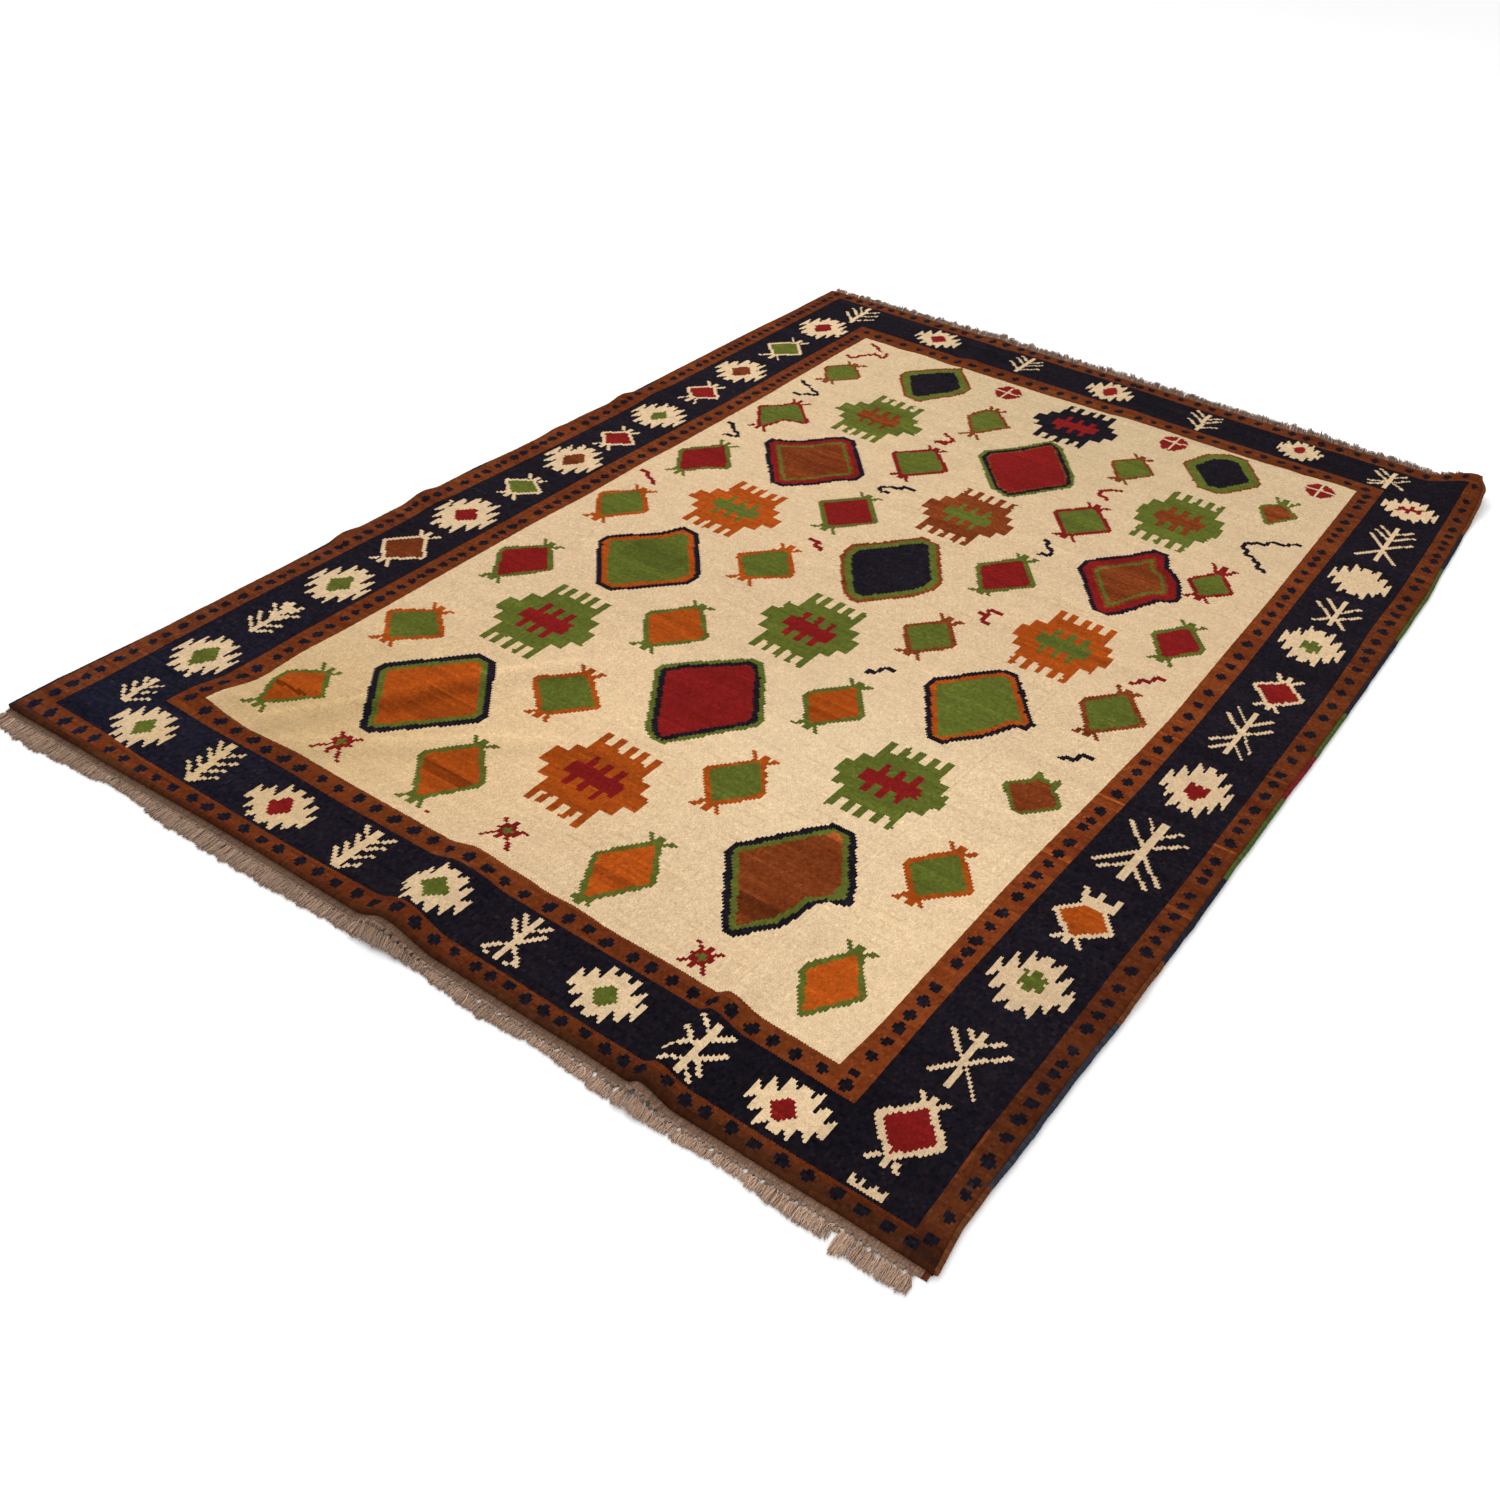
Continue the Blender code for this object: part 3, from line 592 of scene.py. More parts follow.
# Stars: their arms' ends, and the stubs at the middle of each side
stars = (
    ((459, 277), [(441, 296), (482, 302), (431, 239), (489, 238)], [(460, 300), (459, 243)]),
    ((813, 269), [(788, 293), (842, 285), (786, 239), (841, 235)], [(811, 297), (809, 243)]),
    ((1185, 243), [(1161, 270), (1211, 268), (1158, 215), (1208, 215)], [(1185, 268), (1184, 218)]),
)
for (x, y), arms, stubs in stars:
    for end in arms:
        paintLine([(x, y), end], 6, "red")
    for end, weight in zip(stubs, (8, 11)):
        paintLine([(x, y), end], weight, "red")
    paintShape(lozenge(x, y, 21, 15, 4), "red")
    paintShape(lozenge(x, y, 9, 10, 0), "green")
paintShape(box(679, 685, 231, 237), "red")  # one stray red speck

# Petal crosses: centre, half width, height above, height below
petalCrosses = ((646, 2190, 31, 37, 38), (1053, 2212, 30, 30, 50), (1389, 2206, 31, 30, 38))
petalCorners = [(-1.0, 0.25), (-0.55, 0.85), (-0.2, 1.0), (0.2, 1.0), (0.55, 0.85), (1.0, 0.25)]
for x, y, halfWidth, above, below in petalCrosses:
    outline = [(x + halfWidth * share, y + above * level) for share, level in petalCorners]
    outline += [(x + halfWidth * share, y - below * level) for share, level in petalCorners[::-1]]
    paintShape(outline, "red")
    paintLine([(x, y - below), (x, y + above)], 5, "cream")
    paintLine([(x - halfWidth, y - 2), (x + halfWidth, y + 2)], 5, "cream")
    paintShape(lozenge(x, y, 8, 9, 0), "cream")

# Zigzag hooks between the diamonds
zigzags = (
    ("red", 10, [(256, 2212), (276, 2208), (298, 2186)]),
    ("red", 10, [(318, 2190), (322, 2156), (292, 2168)]),
    ("red", 10, [(298, 2168), (285, 2148), (272, 2126), (266, 2108), (244, 2114)]),
    ("navy", 10, [(246, 1921), (263, 1903), (281, 1900), (295, 1888), (313, 1885), (316, 1868),
                 (295, 1862), (292, 1850), (266, 1847)]),
    ("red", 10, [(636, 1895), (657, 1891), (672, 1876), (669, 1862), (646, 1857), (645, 1848), (670, 1853)]),
    ("red", 10, [(1061, 1909), (1042, 1906), (1030, 1888), (1024, 1879), (1027, 1862), (1048, 1859),
                (1051, 1850)]),
    ("navy", 9, [(1442, 1934), (1424, 1934), (1413, 1912), (1386, 1911), (1382, 1889), (1362, 1888),
                (1361, 1877), (1347, 1876), (1346, 1850), (1361, 1849), (1363, 1829), (1382, 1828),
                (1383, 1811), (1400, 1811), (1400, 1791), (1417, 1791), (1418, 1777)]),
    ("navy", 10, [(244, 1620), (263, 1618), (278, 1595), (298, 1589), (302, 1578), (295, 1569), (272, 1566)]),
    ("navy", 10, [(726, 1618), (702, 1620), (696, 1601), (672, 1596), (663, 1578), (672, 1569), (688, 1570)]),
    ("navy", 10, [(1024, 1610), (1039, 1607), (1042, 1586), (1059, 1583), (1061, 1557), (1043, 1555),
                 (1042, 1545)]),
    ("red", 10, [(242, 1316), (263, 1313), (275, 1296), (289, 1295), (300, 1282)]),
    ("red", 12, [(665, 1307), (694, 1306)]),
    ("red", 10, [(694, 1306), (689, 1297), (691, 1288), (707, 1286), (704, 1275)]),
    ("red", 10, [(1092, 1304), (1068, 1301), (1071, 1286), (1052, 1279)]),
    ("red", 10, [(1071, 1286), (1072, 1261), (1090, 1259)]),
    ("red", 10, [(1420, 1295), (1401, 1298), (1401, 1278), (1383, 1272), (1380, 1255), (1366, 1251)]),
    ("navy", 10, [(1035, 1015), (1015, 1016), (1013, 990), (996, 986), (998, 978)]),
    ("navy", 10, [(1415, 1002), (1396, 1002), (1393, 981), (1377, 978), (1371, 966)]),
)
for dye, width, points in zigzags:
    paintLine(points, width, dye)

# Serrated medallions on the navy border: one quarter of the outline above and below the middle
serratedTop = [(0.0, 0.95), (0.12, 0.95), (0.17, 0.66), (0.36, 0.98), (0.43, 0.98), (0.45, 0.30),
               (0.68, 0.70), (0.73, 0.68), (0.75, 0.06), (0.93, 0.38), (0.98, 0.36), (0.98, 0.0)]
serratedBottom = [(0.0, 0.95), (0.12, 0.95), (0.18, 0.68), (0.38, 0.98), (0.44, 0.98), (0.46, 0.36),
                  (0.68, 0.68), (0.73, 0.66), (0.75, 0.08), (0.93, 0.40), (0.98, 0.38), (0.98, 0.0)]
# Centre x, y, half width, half height, then its heart: dye, half width, half height, shift in x and y
serratedMedallions = (
    (197, 111, 57, 52, "green", 17, 22, 0, 0), (507, 108, 61, 50, "red", 19, 23, 0, 0),
    (821, 111, 54, 50, "green", 21, 21, 0, -2), (1128, 109, 56, 50, "green", 18, 20, 0, -4),
    (1426, 97, 58, 48, "red", 18, 19, -6, -5), (112, 300, 57, 63, "green", 23, 31, 0, 0),
    (112, 604, 61, 68, "green", 23, 30, 0, 0), (105, 939, 62, 75, "red", 26, 27, 0, 0),
    (111, 1257, 60, 70, "brown", 23, 31, 0, 0), (116, 1542, 60, 65, "green", 18, 24, 0, 0),
    (113, 1862, 59, 70, "brown", 25, 30, 0, 0), (113, 2216, 58, 72, "red", 22, 31, 0, 0),
    (364, 2355, 58, 56, "red", 20, 24, 0, 0), (826, 2364, 54, 55, "red", 19, 26, 0, 0),
    (1288, 2365, 50, 53, "red", 14, 18, -1, 5), (1565, 480, 60, 66, None, 0, 0, 0, 0),
    (1581, 1038, 55, 75, None, 0, 0, 0, 0), (1583, 1582, 57, 72, None, 0, 0, 0, 0),
    (1578, 1875, 58, 68, None, 0, 0, 0, 0), (1570, 2246, 59, 54, None, 0, 0, 0, 0),
)
serratedRight = serratedTop + [(share, -level) for share, level in serratedBottom[::-1]]
for x, y, halfWidth, halfHeight, heartDye, heartWidth, heartHeight, shiftX, shiftY in serratedMedallions:
    reach = 0.96 * halfHeight
    outline = [(x + halfWidth * share, y + reach * level) for share, level in serratedRight]
    outline += [(x - halfWidth * share, y + reach * level) for share, level in serratedRight[::-1]]
    paintShape(outline, "cream")
    if heartDye:
        paintShape(lozenge(x + shiftX, y + shiftY, heartWidth + 2, heartHeight + 2, 3), heartDye)
paintLine([(105, 951), (105, 966)], 8, "red")

# The right border's medallions have hearts of their own
for x, y in ((1565, 484), (1584, 1578)):
    for left, right, half in ((-7, 7, 22), (-18, -12, 16), (12, 18, 16), (-18, 18, 10)):
        paintShape(box(x + left, x + right, y - half, y + half), "green")
paintShape([(1564, 1050), (1570, 1053), (1575, 1044), (1579, 1053), (1584, 1053), (1588, 1044),
            (1593, 1053), (1599, 1050), (1599, 1024), (1586, 1007), (1577, 1007), (1564, 1024)], "red")
for strokeX, low, high in ((1551, 2231, 2259), (1570, 2229, 2272), (1589, 2238, 2268)):
    paintLine([(strokeX - 3, low), (strokeX + 3, high)], 9, "red")
paintLine([(1548, 2246), (1592, 2252)], 12, "red")

# Sprigs on the border, cream: the stem and its width, then leaves from their tips down to the stem
sprigs = (
    (13, [(341, 165), (355, 62)],
     [[(318, 161), (341, 134)], [(316, 141), (345, 116)], [(316, 118), (348, 93)],
      [(320, 96), (352, 68)],
      [(375, 161), (355, 140)], [(380, 138), (359, 118)], [(382, 118), (361, 99)], [(382, 96), (359, 70)]]),
    (13, [(666, 161), (666, 63)],
     [[(637, 160), (660, 135)], [(637, 139), (660, 116)], [(637, 117), (660, 93)], [(637, 95), (660, 70)],
      [(697, 160), (672, 136)], [(697, 139), (673, 117)], [(697, 118), (675, 95)], [(697, 95), (673, 70)]]),
    (15, [(110, 205), (116, 133)],
     [[(88, 202), (106, 182)], [(84, 183), (107, 160)], [(80, 165), (110, 138)],
      [(136, 204), (121, 186)], [(140, 185), (122, 166)], [(145, 164), (122, 142)]]),
    (11, [(101, 510), (114, 396)],
     [[(84, 505), (100, 488)], [(75, 486), (97, 465)], [(75, 452), (106, 422)],
      [(75, 431), (111, 400)], [(127, 507), (120, 493)], [(142, 484), (118, 465)],
      [(140, 442), (118, 426)], [(139, 422), (121, 407)]]),
    (10, [(136, 2406), (143, 2294)],
     [[(110, 2404), (131, 2370)], [(99, 2381), (135, 2345)], [(100, 2352), (140, 2306)],
      [(170, 2403), (149, 2380)], [(178, 2379), (149, 2350)], [(182, 2351), (150, 2317)]]),
    (10, [(603, 2415), (601, 2309)],
     [[(571, 2412), (597, 2386)], [(566, 2394), (597, 2364)], [(561, 2364), (596, 2333)],
      [(633, 2412), (608, 2386)], [(641, 2394), (608, 2364)], [(639, 2364), (607, 2333)]]),
    (10, [(1061, 2409), (1065, 2305)],
     [[(1029, 2410), (1057, 2384)], [(1025, 2388), (1057, 2360)], [(1029, 2356), (1058, 2328)],
      [(1092, 2406), (1068, 2382)], [(1097, 2391), (1069, 2360)], [(1098, 2351), (1070, 2328)]]),
    (10, [(968, 163), (968, 110), (970, 66)],
     [[(942, 160), (963, 137)], [(997, 162), (977, 142)], [(940, 141), (966, 113)],
      [(996, 141), (976, 116)],
      [(966, 102), (940, 79), (953, 68)], [(974, 102), (999, 77), (985, 68)]]),
    (9, [(1285, 148), (1284, 51)],
     [[(1250, 153), (1284, 126)], [(1306, 149), (1287, 124)], [(1244, 129), (1276, 97), (1284, 97)],
      [(1315, 121), (1288, 86)], [(1244, 79), (1270, 100)], [(1253, 55), (1283, 78)],
      [(1285, 94), (1312, 66)], [(1284, 72), (1305, 50)]]),
    (10, [(1562, 361), (1560, 300), (1564, 251)],
     [[(1535, 357), (1555, 339)], [(1588, 359), (1569, 340)], [(1520, 343), (1556, 303)],
      [(1605, 343), (1570, 303)], [(1556, 293), (1524, 257)], [(1572, 290), (1601, 250)]]),
    (12, [(1579, 919), (1576, 840), (1571, 757)],
     [[(1550, 919), (1568, 892)], [(1606, 917), (1586, 890)], [(1527, 898), (1565, 855)],
      [(1625, 895), (1583, 855)], [(1562, 825), (1520, 776)], [(1564, 797), (1531, 761)],
      [(1583, 828), (1622, 777)], [(1580, 795), (1609, 760)]]),
    (10, [(1583, 1304), (1582, 1230), (1580, 1159)],
     [[(1549, 1304), (1574, 1270)], [(1613, 1300), (1590, 1270)], [(1541, 1277), (1574, 1236)],
      [(1623, 1271), (1590, 1236)], [(1545, 1184), (1574, 1215)], [(1554, 1161), (1576, 1190)],
      [(1617, 1180), (1594, 1218)], [(1608, 1158), (1588, 1186)]]),
    (10, [(1583, 1779), (1584, 1673)],
     [[(1549, 1771), (1575, 1740)], [(1613, 1769), (1591, 1737)], [(1537, 1750), (1573, 1708)],
      [(1627, 1742), (1592, 1706)], [(1554, 1675), (1575, 1697)], [(1611, 1675), (1592, 1699)]]),
    (11, [(1573, 2149), (1574, 2080), (1576, 1977)],
     [[(1543, 2138), (1567, 2113)], [(1605, 2147), (1580, 2118)], [(1538, 2116), (1567, 2088)],
      [(1614, 2127), (1582, 2090)], [(1534, 2091), (1568, 2050)], [(1622, 2095), (1583, 2048)],
      [(1538, 1982), (1570, 2023)], [(1618, 1983), (1582, 2025)]]),
    (9, [(1494, 2406), (1494, 2315)],
     [[(1461, 2406), (1487, 2381)], [(1524, 2406), (1500, 2381)], [(1454, 2390), (1488, 2354)],
      [(1531, 2388), (1500, 2352)], [(1457, 2332), (1488, 2350)], [(1459, 2315), (1488, 2340)],
      [(1535, 2329), (1501, 2352)]]),
)
leafWidths = {"usual": 5.4, "thin": 4.2, "thinBeyondY": 2290}
for stemWidth, stem, leaves in sprigs:
    paintLine(stem, stemWidth, "cream")
    stemXs, stemYs = zip(*stem[::-1])
    for leaf in leaves:
        thin = leaf[0][1] > leafWidths["thinBeyondY"] and leaf[0][0] > stem[0][0]
        if len(leaf) == 2:  # a straight leaf runs on to the middle of the stem
            (tipX, tipY), (endX, endY) = sorted(leaf, key=lambda end: -abs(end[0] - stem[0][0]))
            stemX = float(np.interp(endY, stemYs, stemXs))
            leaf = [(tipX, tipY), (stemX, endY + (stemX - endX) * (endY - tipY) / (endX - tipX))]
        paintLine(leaf, leafWidths["thin" if thin else "usual"], "cream")

# Where the leaves of the left border's second sprig grow together
paintShape([(84, 498), (128, 498), (124, 482), (110, 476), (96, 480)], "cream")
paintShape([(84, 466), (130, 466), (120, 450), (106, 444)], "cream")

# Cream-edged hooked diamonds on the border: left, right, height, top, bottom, fill, sizes of the
# prongs above and below, width of the edge
edgedDiamonds = (
    (55, 161, 767, (106, 828), (106, 717), "brown", 1.0, 1.0, 7.4),
    (65, 156, 1100, (110, 1135), (110, 1058), "green", 1.0, 1.0, 7.4),
    (76, 162, 1394, (116, 1435), (116, 1353), "red", 1.0, 1.0, 7.4),
    (73, 160, 1703, (116, 1748), (114, 1666), "red", 1.0, 1.6, 7.4),
    (67, 163, 2042, (116, 2094), (116, 1991), "green", 1.3, 1.3, 7.4),
    (1513, 1610, 160, (1562, 214), (1561, 106), "red", 0.9, 0.9, 10.0),
    (1543, 1634, 1392, (1589, 1436), (1588, 1342), "red", 1.0, 1.0, 7.4),
)
for left, right, middle, top, bottom, fill, above, below, edgeWidth in edgedDiamonds:
    outline = diamond(left, right, middle, top, bottom, 4, 5, 5)
    paintHooked(outline, fill, edgeWidth, "cream", (top, bottom), (above, below), 5.6)

# The one with a crown above, and prongs below only
paintShape([(1521, 637), (1521, 643), (1552, 679), (1588, 679), (1616, 643), (1616, 637), (1573, 597),
            (1561, 597)], "orange", [(7.4, "cream")])
paintProngs(1567, 597, -1, "cream", 0.9, 5.6)
paintShape([(1545, 677), (1541, 694), (1600, 694), (1596, 677)], "cream")
for spikeX, lean in ((1546, -3), (1570, 0), (1594, 3)):
    paintLine([(spikeX, 688), (spikeX + lean, 710)], 8, "cream")

# A plain four-toothed comb in the near right corner
paintShape(box(1540, 1590, 46, 55), "cream")
for toothX in (1543, 1557, 1571, 1586):
    paintLine([(toothX, 53), (toothX, 64)], 5, "cream")

# Shades: every knot, row and dye lot a little different
dyeColours = {
    "cream": (0.622, 0.446, 0.268),
    "navy": (0.0078, 0.0066, 0.0115),
    "brown": (0.168, 0.0345, 0.0078),
    "red": (0.180, 0.0090, 0.0080),
    "green": (0.092, 0.109, 0.0160),
    "orange": (0.330, 0.0590, 0.0055),
}
# How uneven each dye is: in streaks along the rows, and from knot to knot
dyeUnevenness = {
    "cream": (0.036, 0.050),
    "navy": (0.160, 0.200),
    "brown": (0.190, 0.100),
    "red": (0.120, 0.090),
    "green": (0.120, 0.090),
    "orange": (0.150, 0.090),
}
shadeRandom = np.random.default_rng(21)


# Slowly changing random shades: one value for each stretch of columns and each few rows
def shadeRuns(stretch, rows):
    tall = int(chart.shape[0] / rows) + 2
    wide = int(chart.shape[1] / stretch) + 2
    values = shadeRandom.normal(0.0, 1.0, (tall, wide))
    along = np.arange(chart.shape[0]) / rows
    across = np.arange(chart.shape[1]) / stretch
    low, left = along.astype(int), across.astype(int)
    partAlong, partAcross = (along - low)[:, None], (across - left)[None, :]
    near = values[low][:, left] * (1 - partAcross) + values[low][:, left + 1] * partAcross
    far = values[low + 1][:, left] * (1 - partAcross) + values[low + 1][:, left + 1] * partAcross
    return near * (1 - partAlong) + far * partAlong


# Streaks along single rows and over a few of them, and wide patches
streaks = 0.55 * shadeRuns(16.0, 1.0) + 0.55 * shadeRuns(60.0, 3.0) + 0.30 * shadeRuns(20.0, 20.0)
speckle = shadeRandom.normal(0.0, 1.0, chart.shape)
knotColours = np.zeros(chart.shape + (3,))
for number, dye in enumerate(dyes):
    held = chart == number
    shade = np.exp(dyeUnevenness[dye][0] * streaks[held] + dyeUnevenness[dye][1] * speckle[held])
    knotColours[held] = np.array(dyeColours[dye]) * shade[:, None]
    if dye == "brown":  # yellower where it is lighter
        knotColours[held] *= np.stack([np.ones(shade.shape), shade ** 0.35, shade ** 0.2], -1)
    if dye == "navy":  # some of its knots are browner
        browning = shadeRandom.uniform(0.0, 1.0, held.sum())[:, None] ** 2
        knotColours[held] *= 1.0 + browning * np.array([0.75, 0.30, -0.05])


# A soft round area of the rug, 1 in its middle and falling off over reachX and reachY
def softArea(x, y, reachX, reachY):
    return np.exp(-(((knotX - x) / reachX) ** 2 + ((knotY - y) / reachY) ** 2))[..., None]


# Some knots of one dye
def dyedKnots(dye, where=True):
    return ((chart == dyes.index(dye)) & where)[..., None]


# Changes the red, green and blue of some knots, as strongly as each place has it
def tint(held, strength, change):
    knotColours[:] *= 1.0 + held * strength * np.array(change)


# The cream field's tone, partly its own and partly painted light: deeper and yellower at the near left,
# paler at the near right where brighter light is painted in, and painted shade at the far end. Middle and
# reach of each area, and how much its red, green and blue change
fieldTonesAndPaintedLight = (
    ((350, 290, 300, 260), (-0.12, -0.16, -0.30)),
    ((700, 480, 260, 300), (0.16, 0.14, 0.10)),
    ((1050, 720, 260, 260), (0.08, 0.12, 0.15)),
    ((1480, 380, 420, 620), (0.22, 0.24, 0.24)),
    ((800, 2200, 800, 480), (-0.17, -0.14, -0.15)),
)
isField = dyedKnots("cream", (knotX > 215) & (knotX < 1470))
fieldToneAndPaintedLight = 1.0
for area, change in fieldTonesAndPaintedLight:
    fieldToneAndPaintedLight = fieldToneAndPaintedLight * (1.0 + np.array(change) * softArea(*area))
knotColours = np.where(isField, knotColours * fieldToneAndPaintedLight, knotColours)

# Painted shade on the brown along the near end, where the pile's edge rolls down; the brown is also
# darker low on the right edge
isBrown = dyedKnots("brown")
tint(isBrown, softArea(0, 16, math.inf, 20), (-0.62, -0.45, -0.10))
tint(dyedKnots("brown", knotX > 1640), softArea(0, 200, math.inf, 500), (-0.42, -0.34, -0.10))

# The guards are duller than the brown of the diamonds, most of all at the far end and along the right
# edge, but not along the inner guard on the right. Low on the left they are greyer, and one lighter,
# redder streak along the near end is a painted highlight.
onGuards = dyedKnots("brown", (knotX < 240) | (knotX > 1430) | (knotY < 225) | (knotY > 2235))
duller = 0.20 + 0.20 * softArea(850, 2450, 2500, 300) + 0.15 * softArea(1680, 1500, 60, 700)
duller = duller * (1.0 - 1.6 * softArea(1465, 700, 60, 900))
tint(onGuards, duller, (-1.0, -0.85, -0.6))
tint(onGuards, softArea(10, 300, 60, 700), (-0.10, 0.02, 0.40))
# painted highlight: a lighter, redder streak along the near end
tint(onGuards, softArea(250, 35, 420, 5), (0.50, 0.22, 0.20))

# The navy is darker at the near right and along the far end, and bluer at the near left
isNavy = dyedKnots("navy")
tint(isNavy, softArea(1400, 120, 260, 150), (-0.30, -0.30, -0.30))
tint(isNavy, softArea(850, 2400, 1200, 300), (-0.28, -0.28, -0.28))
tint(isNavy, softArea(80, 100, 330, 330), (-0.05, 0.22, 0.55))

# Short dull dashes where a weft shows between two rows of the field: middle, spread and how many
weftRandom = np.random.default_rng(23)
weftSpells = (
    (1150, 420, 190, 190, 170), (620, 1400, 280, 500, 130), (330, 330, 90, 80, 50),
    (1250, 1500, 170, 420, 90),
)
for middleX, middleY, spreadX, spreadY, count in weftSpells:
    for _ in range(count):
        column, row = chartPlace(*weftRandom.normal((middleX, middleY), (spreadX, spreadY)))
        if lineRows["fieldNear"] + 1 < row < lineRows["fieldFar"] - 1:
            dash = (int(row), slice(int(column), int(column) + weftRandom.integers(2, 13)))
            dulled = 1.0 - np.array([0.07, 0.10, 0.15]) * weftRandom.uniform(0.2, 1.2)
            knotColours[dash] = np.where(isField[dash], knotColours[dash] * dulled, knotColours[dash])

# Painted shade and highlight of a sharp old fold up the near right of the field, four columns of knots
# wide, darker and lighter in turn
foldColumn = int(chartPlace(1264, 600)[0])
foldRows = slice(36, 200)
for column, tone in enumerate((0.955, 1.02, 0.93, 1.03), foldColumn - 2):
    stretch = (foldRows, column)
    knotColours[stretch] = np.where(isField[stretch], knotColours[stretch] * tone, knotColours[stretch])

# Lighter and darker spells of the dyes, one of them partly painted shade: left, right, low, high, dye,
# how much lighter, and how red
dyeSpellsAndPaintedShade = (
    (1163, 1217, 564, 582, "brown", 1.9, 0.9), (1100, 1290, 346, 388, "brown", 0.58, 1.0),
    # the darker orange spell in the large near diamond is partly a dye lot, partly painted ridge shade
    (460, 590, 395, 475, "orange", 0.80, 1.0), (240, 350, 322, 331, "orange", 0.45, 1.0),
    (570, 706, 306, 327, "orange", 0.58, 1.0), (936, 1046, 285, 300, "orange", 0.75, 1.0),
    (948, 1064, 820, 835, "orange", 0.78, 1.0), (930, 1440, 240, 420, "orange", 1.22, 1.0),
    (420, 540, 1010, 1110, "green", 0.86, 1.0), (1130, 1290, 890, 1140, "green", 1.12, 1.0),
    (1436, 1690, 742, 751, "brown", 1.7, 0.9), (1436, 1690, 920, 928, "brown", 1.7, 0.9),
    (1436, 1690, 1140, 1149, "brown", 1.7, 0.9),
)
for left, right, low, high, dye, lighter, redness in dyeSpellsAndPaintedShade:
    window = knotsNear([(left, low), (right, high)])
    held = (knotX[window] > left) & (knotX[window] < right) & (chart[window] == dyes.index(dye))
    held &= (knotY[window] > low) & (knotY[window] < high)
    knotColours[window][held] *= lighter * np.array([1.0, 1.0 / redness, 1.0])

# Painted light and shade of soft folds that fan out from the near left corner: each has a painted
# highlight along its crest and painted shade on the side below it. The reaches are in millimetres, and
# the light and dark are given for the dyed wool and the cream.
paintedFoldLightAndShade = (
    {"crest": [(313, 253), (380, 360), (413, 413), (467, 513), (540, 620), (593, 687)],
     "crestReach": 8, "light": (0.17, 0.13), "sideShift": (34, -20), "sideReach": 20, "dark": (0.30, 0.09)},
    {"crest": [(380, 227), (467, 293), (527, 340), (620, 433), (720, 500)],
     "crestReach": 9, "light": (0.10, 0.11), "sideShift": (26, -28), "sideReach": 18, "dark": (0.10, 0.09)},
)
for fold in paintedFoldLightAndShade:
    side = [(x + fold["sideShift"][0], y + fold["sideShift"][1]) for x, y in fold["crest"]]
    onCrest, onSide = (
        np.exp(-(distanceToLine(line, knotX, knotY) / reach) ** 2)[..., None]
        for line, reach in ((fold["crest"], fold["crestReach"]), (side, fold["sideReach"]))
    )
    light, dark = (np.where(isField, fold[name][1], fold[name][0]) for name in ("light", "dark"))
    knotColours = knotColours * (1.0 + (light * onCrest - dark * onSide))


def meshPiece(name, points, faces, material):
    mesh = bpy.data.meshes.new(name)
    mesh.from_pydata(points, [], faces)
    mesh.materials.append(material)
    mesh.polygons.foreach_set("use_smooth", np.ones(len(mesh.polygons), bool))
    piece = bpy.data.objects.new(name, mesh)
    bpy.context.scene.collection.objects.link(piece)
    return piece


# Writes one colour for each face; every face has the same number of corners, or counts gives them
def colourFaces(piece, colours, counts=4):
    spread = np.repeat(colours, counts, axis=0)
    spread = np.concatenate([spread, np.ones((len(spread), 1))], 1).astype(np.float32)
    attribute = piece.data.color_attributes.new("dye", "FLOAT_COLOR", "CORNER")
    attribute.data.foreach_set("color", spread.ravel())


def place(piece, node, slotName):
    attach(piece, "root")
    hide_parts(node)


# Matt wool: its colour is painted on the faces, then mottled; fibres and loops stand up as bumps
def woolMaterial(name, mottle, grainScale, grain, fibreScale, fibre, darkest):
    material = bpy.data.materials.new(name)
    material.use_nodes = True
    nodes, links = material.node_tree.nodes, material.node_tree.links

    def addNode(kind, **values):
        node = nodes.new("ShaderNode" + kind)
        for socket, value in values.items():
            node.inputs[socket.replace("_", " ")].default_value = value
        return node

    shader = nodes["Principled BSDF"]
    shader.inputs["Roughness"].default_value = 0.94
    shader.inputs["Specular IOR Level"].default_value = 0.02
    painted = addNode("Attribute")
    painted.attribute_name = "dye"
    places = addNode("TexCoord")
    blotches = addNode("TexNoise", Scale=22.0, Detail=5.0)
    grains = addNode("TexNoise", Scale=grainScale, Detail=3.0)
    fibres = addNode("TexNoise", Scale=fibreScale, Detail=2.0)
    blotchRange = addNode("MapRange", To_Min=1.0 - mottle, To_Max=1.0 + mottle)
    grainRange = addNode("MapRange", From_Min=0.28, From_Max=0.66, To_Min=darkest,
                         To_Max=1.0 + 0.25 * (1.0 - darkest))
    shading = addNode("Math")
    shading.operation = "MULTIPLY"
    tinted = addNode("VectorMath")
    tinted.operation = "SCALE"
    grainBump = addNode("Bump", Strength=0.8, Distance=grain)
    fibreBump = addNode("Bump", Strength=0.6, Distance=fibre)
    for source, output, target, socket in (
            (places, "Object", blotches, "Vector"), (places, "Object", grains, "Vector"),
            (places, "Object", fibres, "Vector"), (blotches, "Fac", blotchRange, "Value"),
            (grains, "Fac", grainRange, "Value"), (blotchRange, "Result", shading, 0),
            (grainRange, "Result", shading, 1), (painted, "Color", tinted, "Vector"),
            (shading, "Value", tinted, "Scale"), (tinted, "Vector", shader, "Base Color"),
            (grains, "Fac", grainBump, "Height"), (fibres, "Fac", fibreBump, "Height"),
            (grainBump, "Normal", fibreBump, "Normal"), (fibreBump, "Normal", shader, "Normal")):
        links.new(source.outputs[output], target.inputs[socket])
    return material


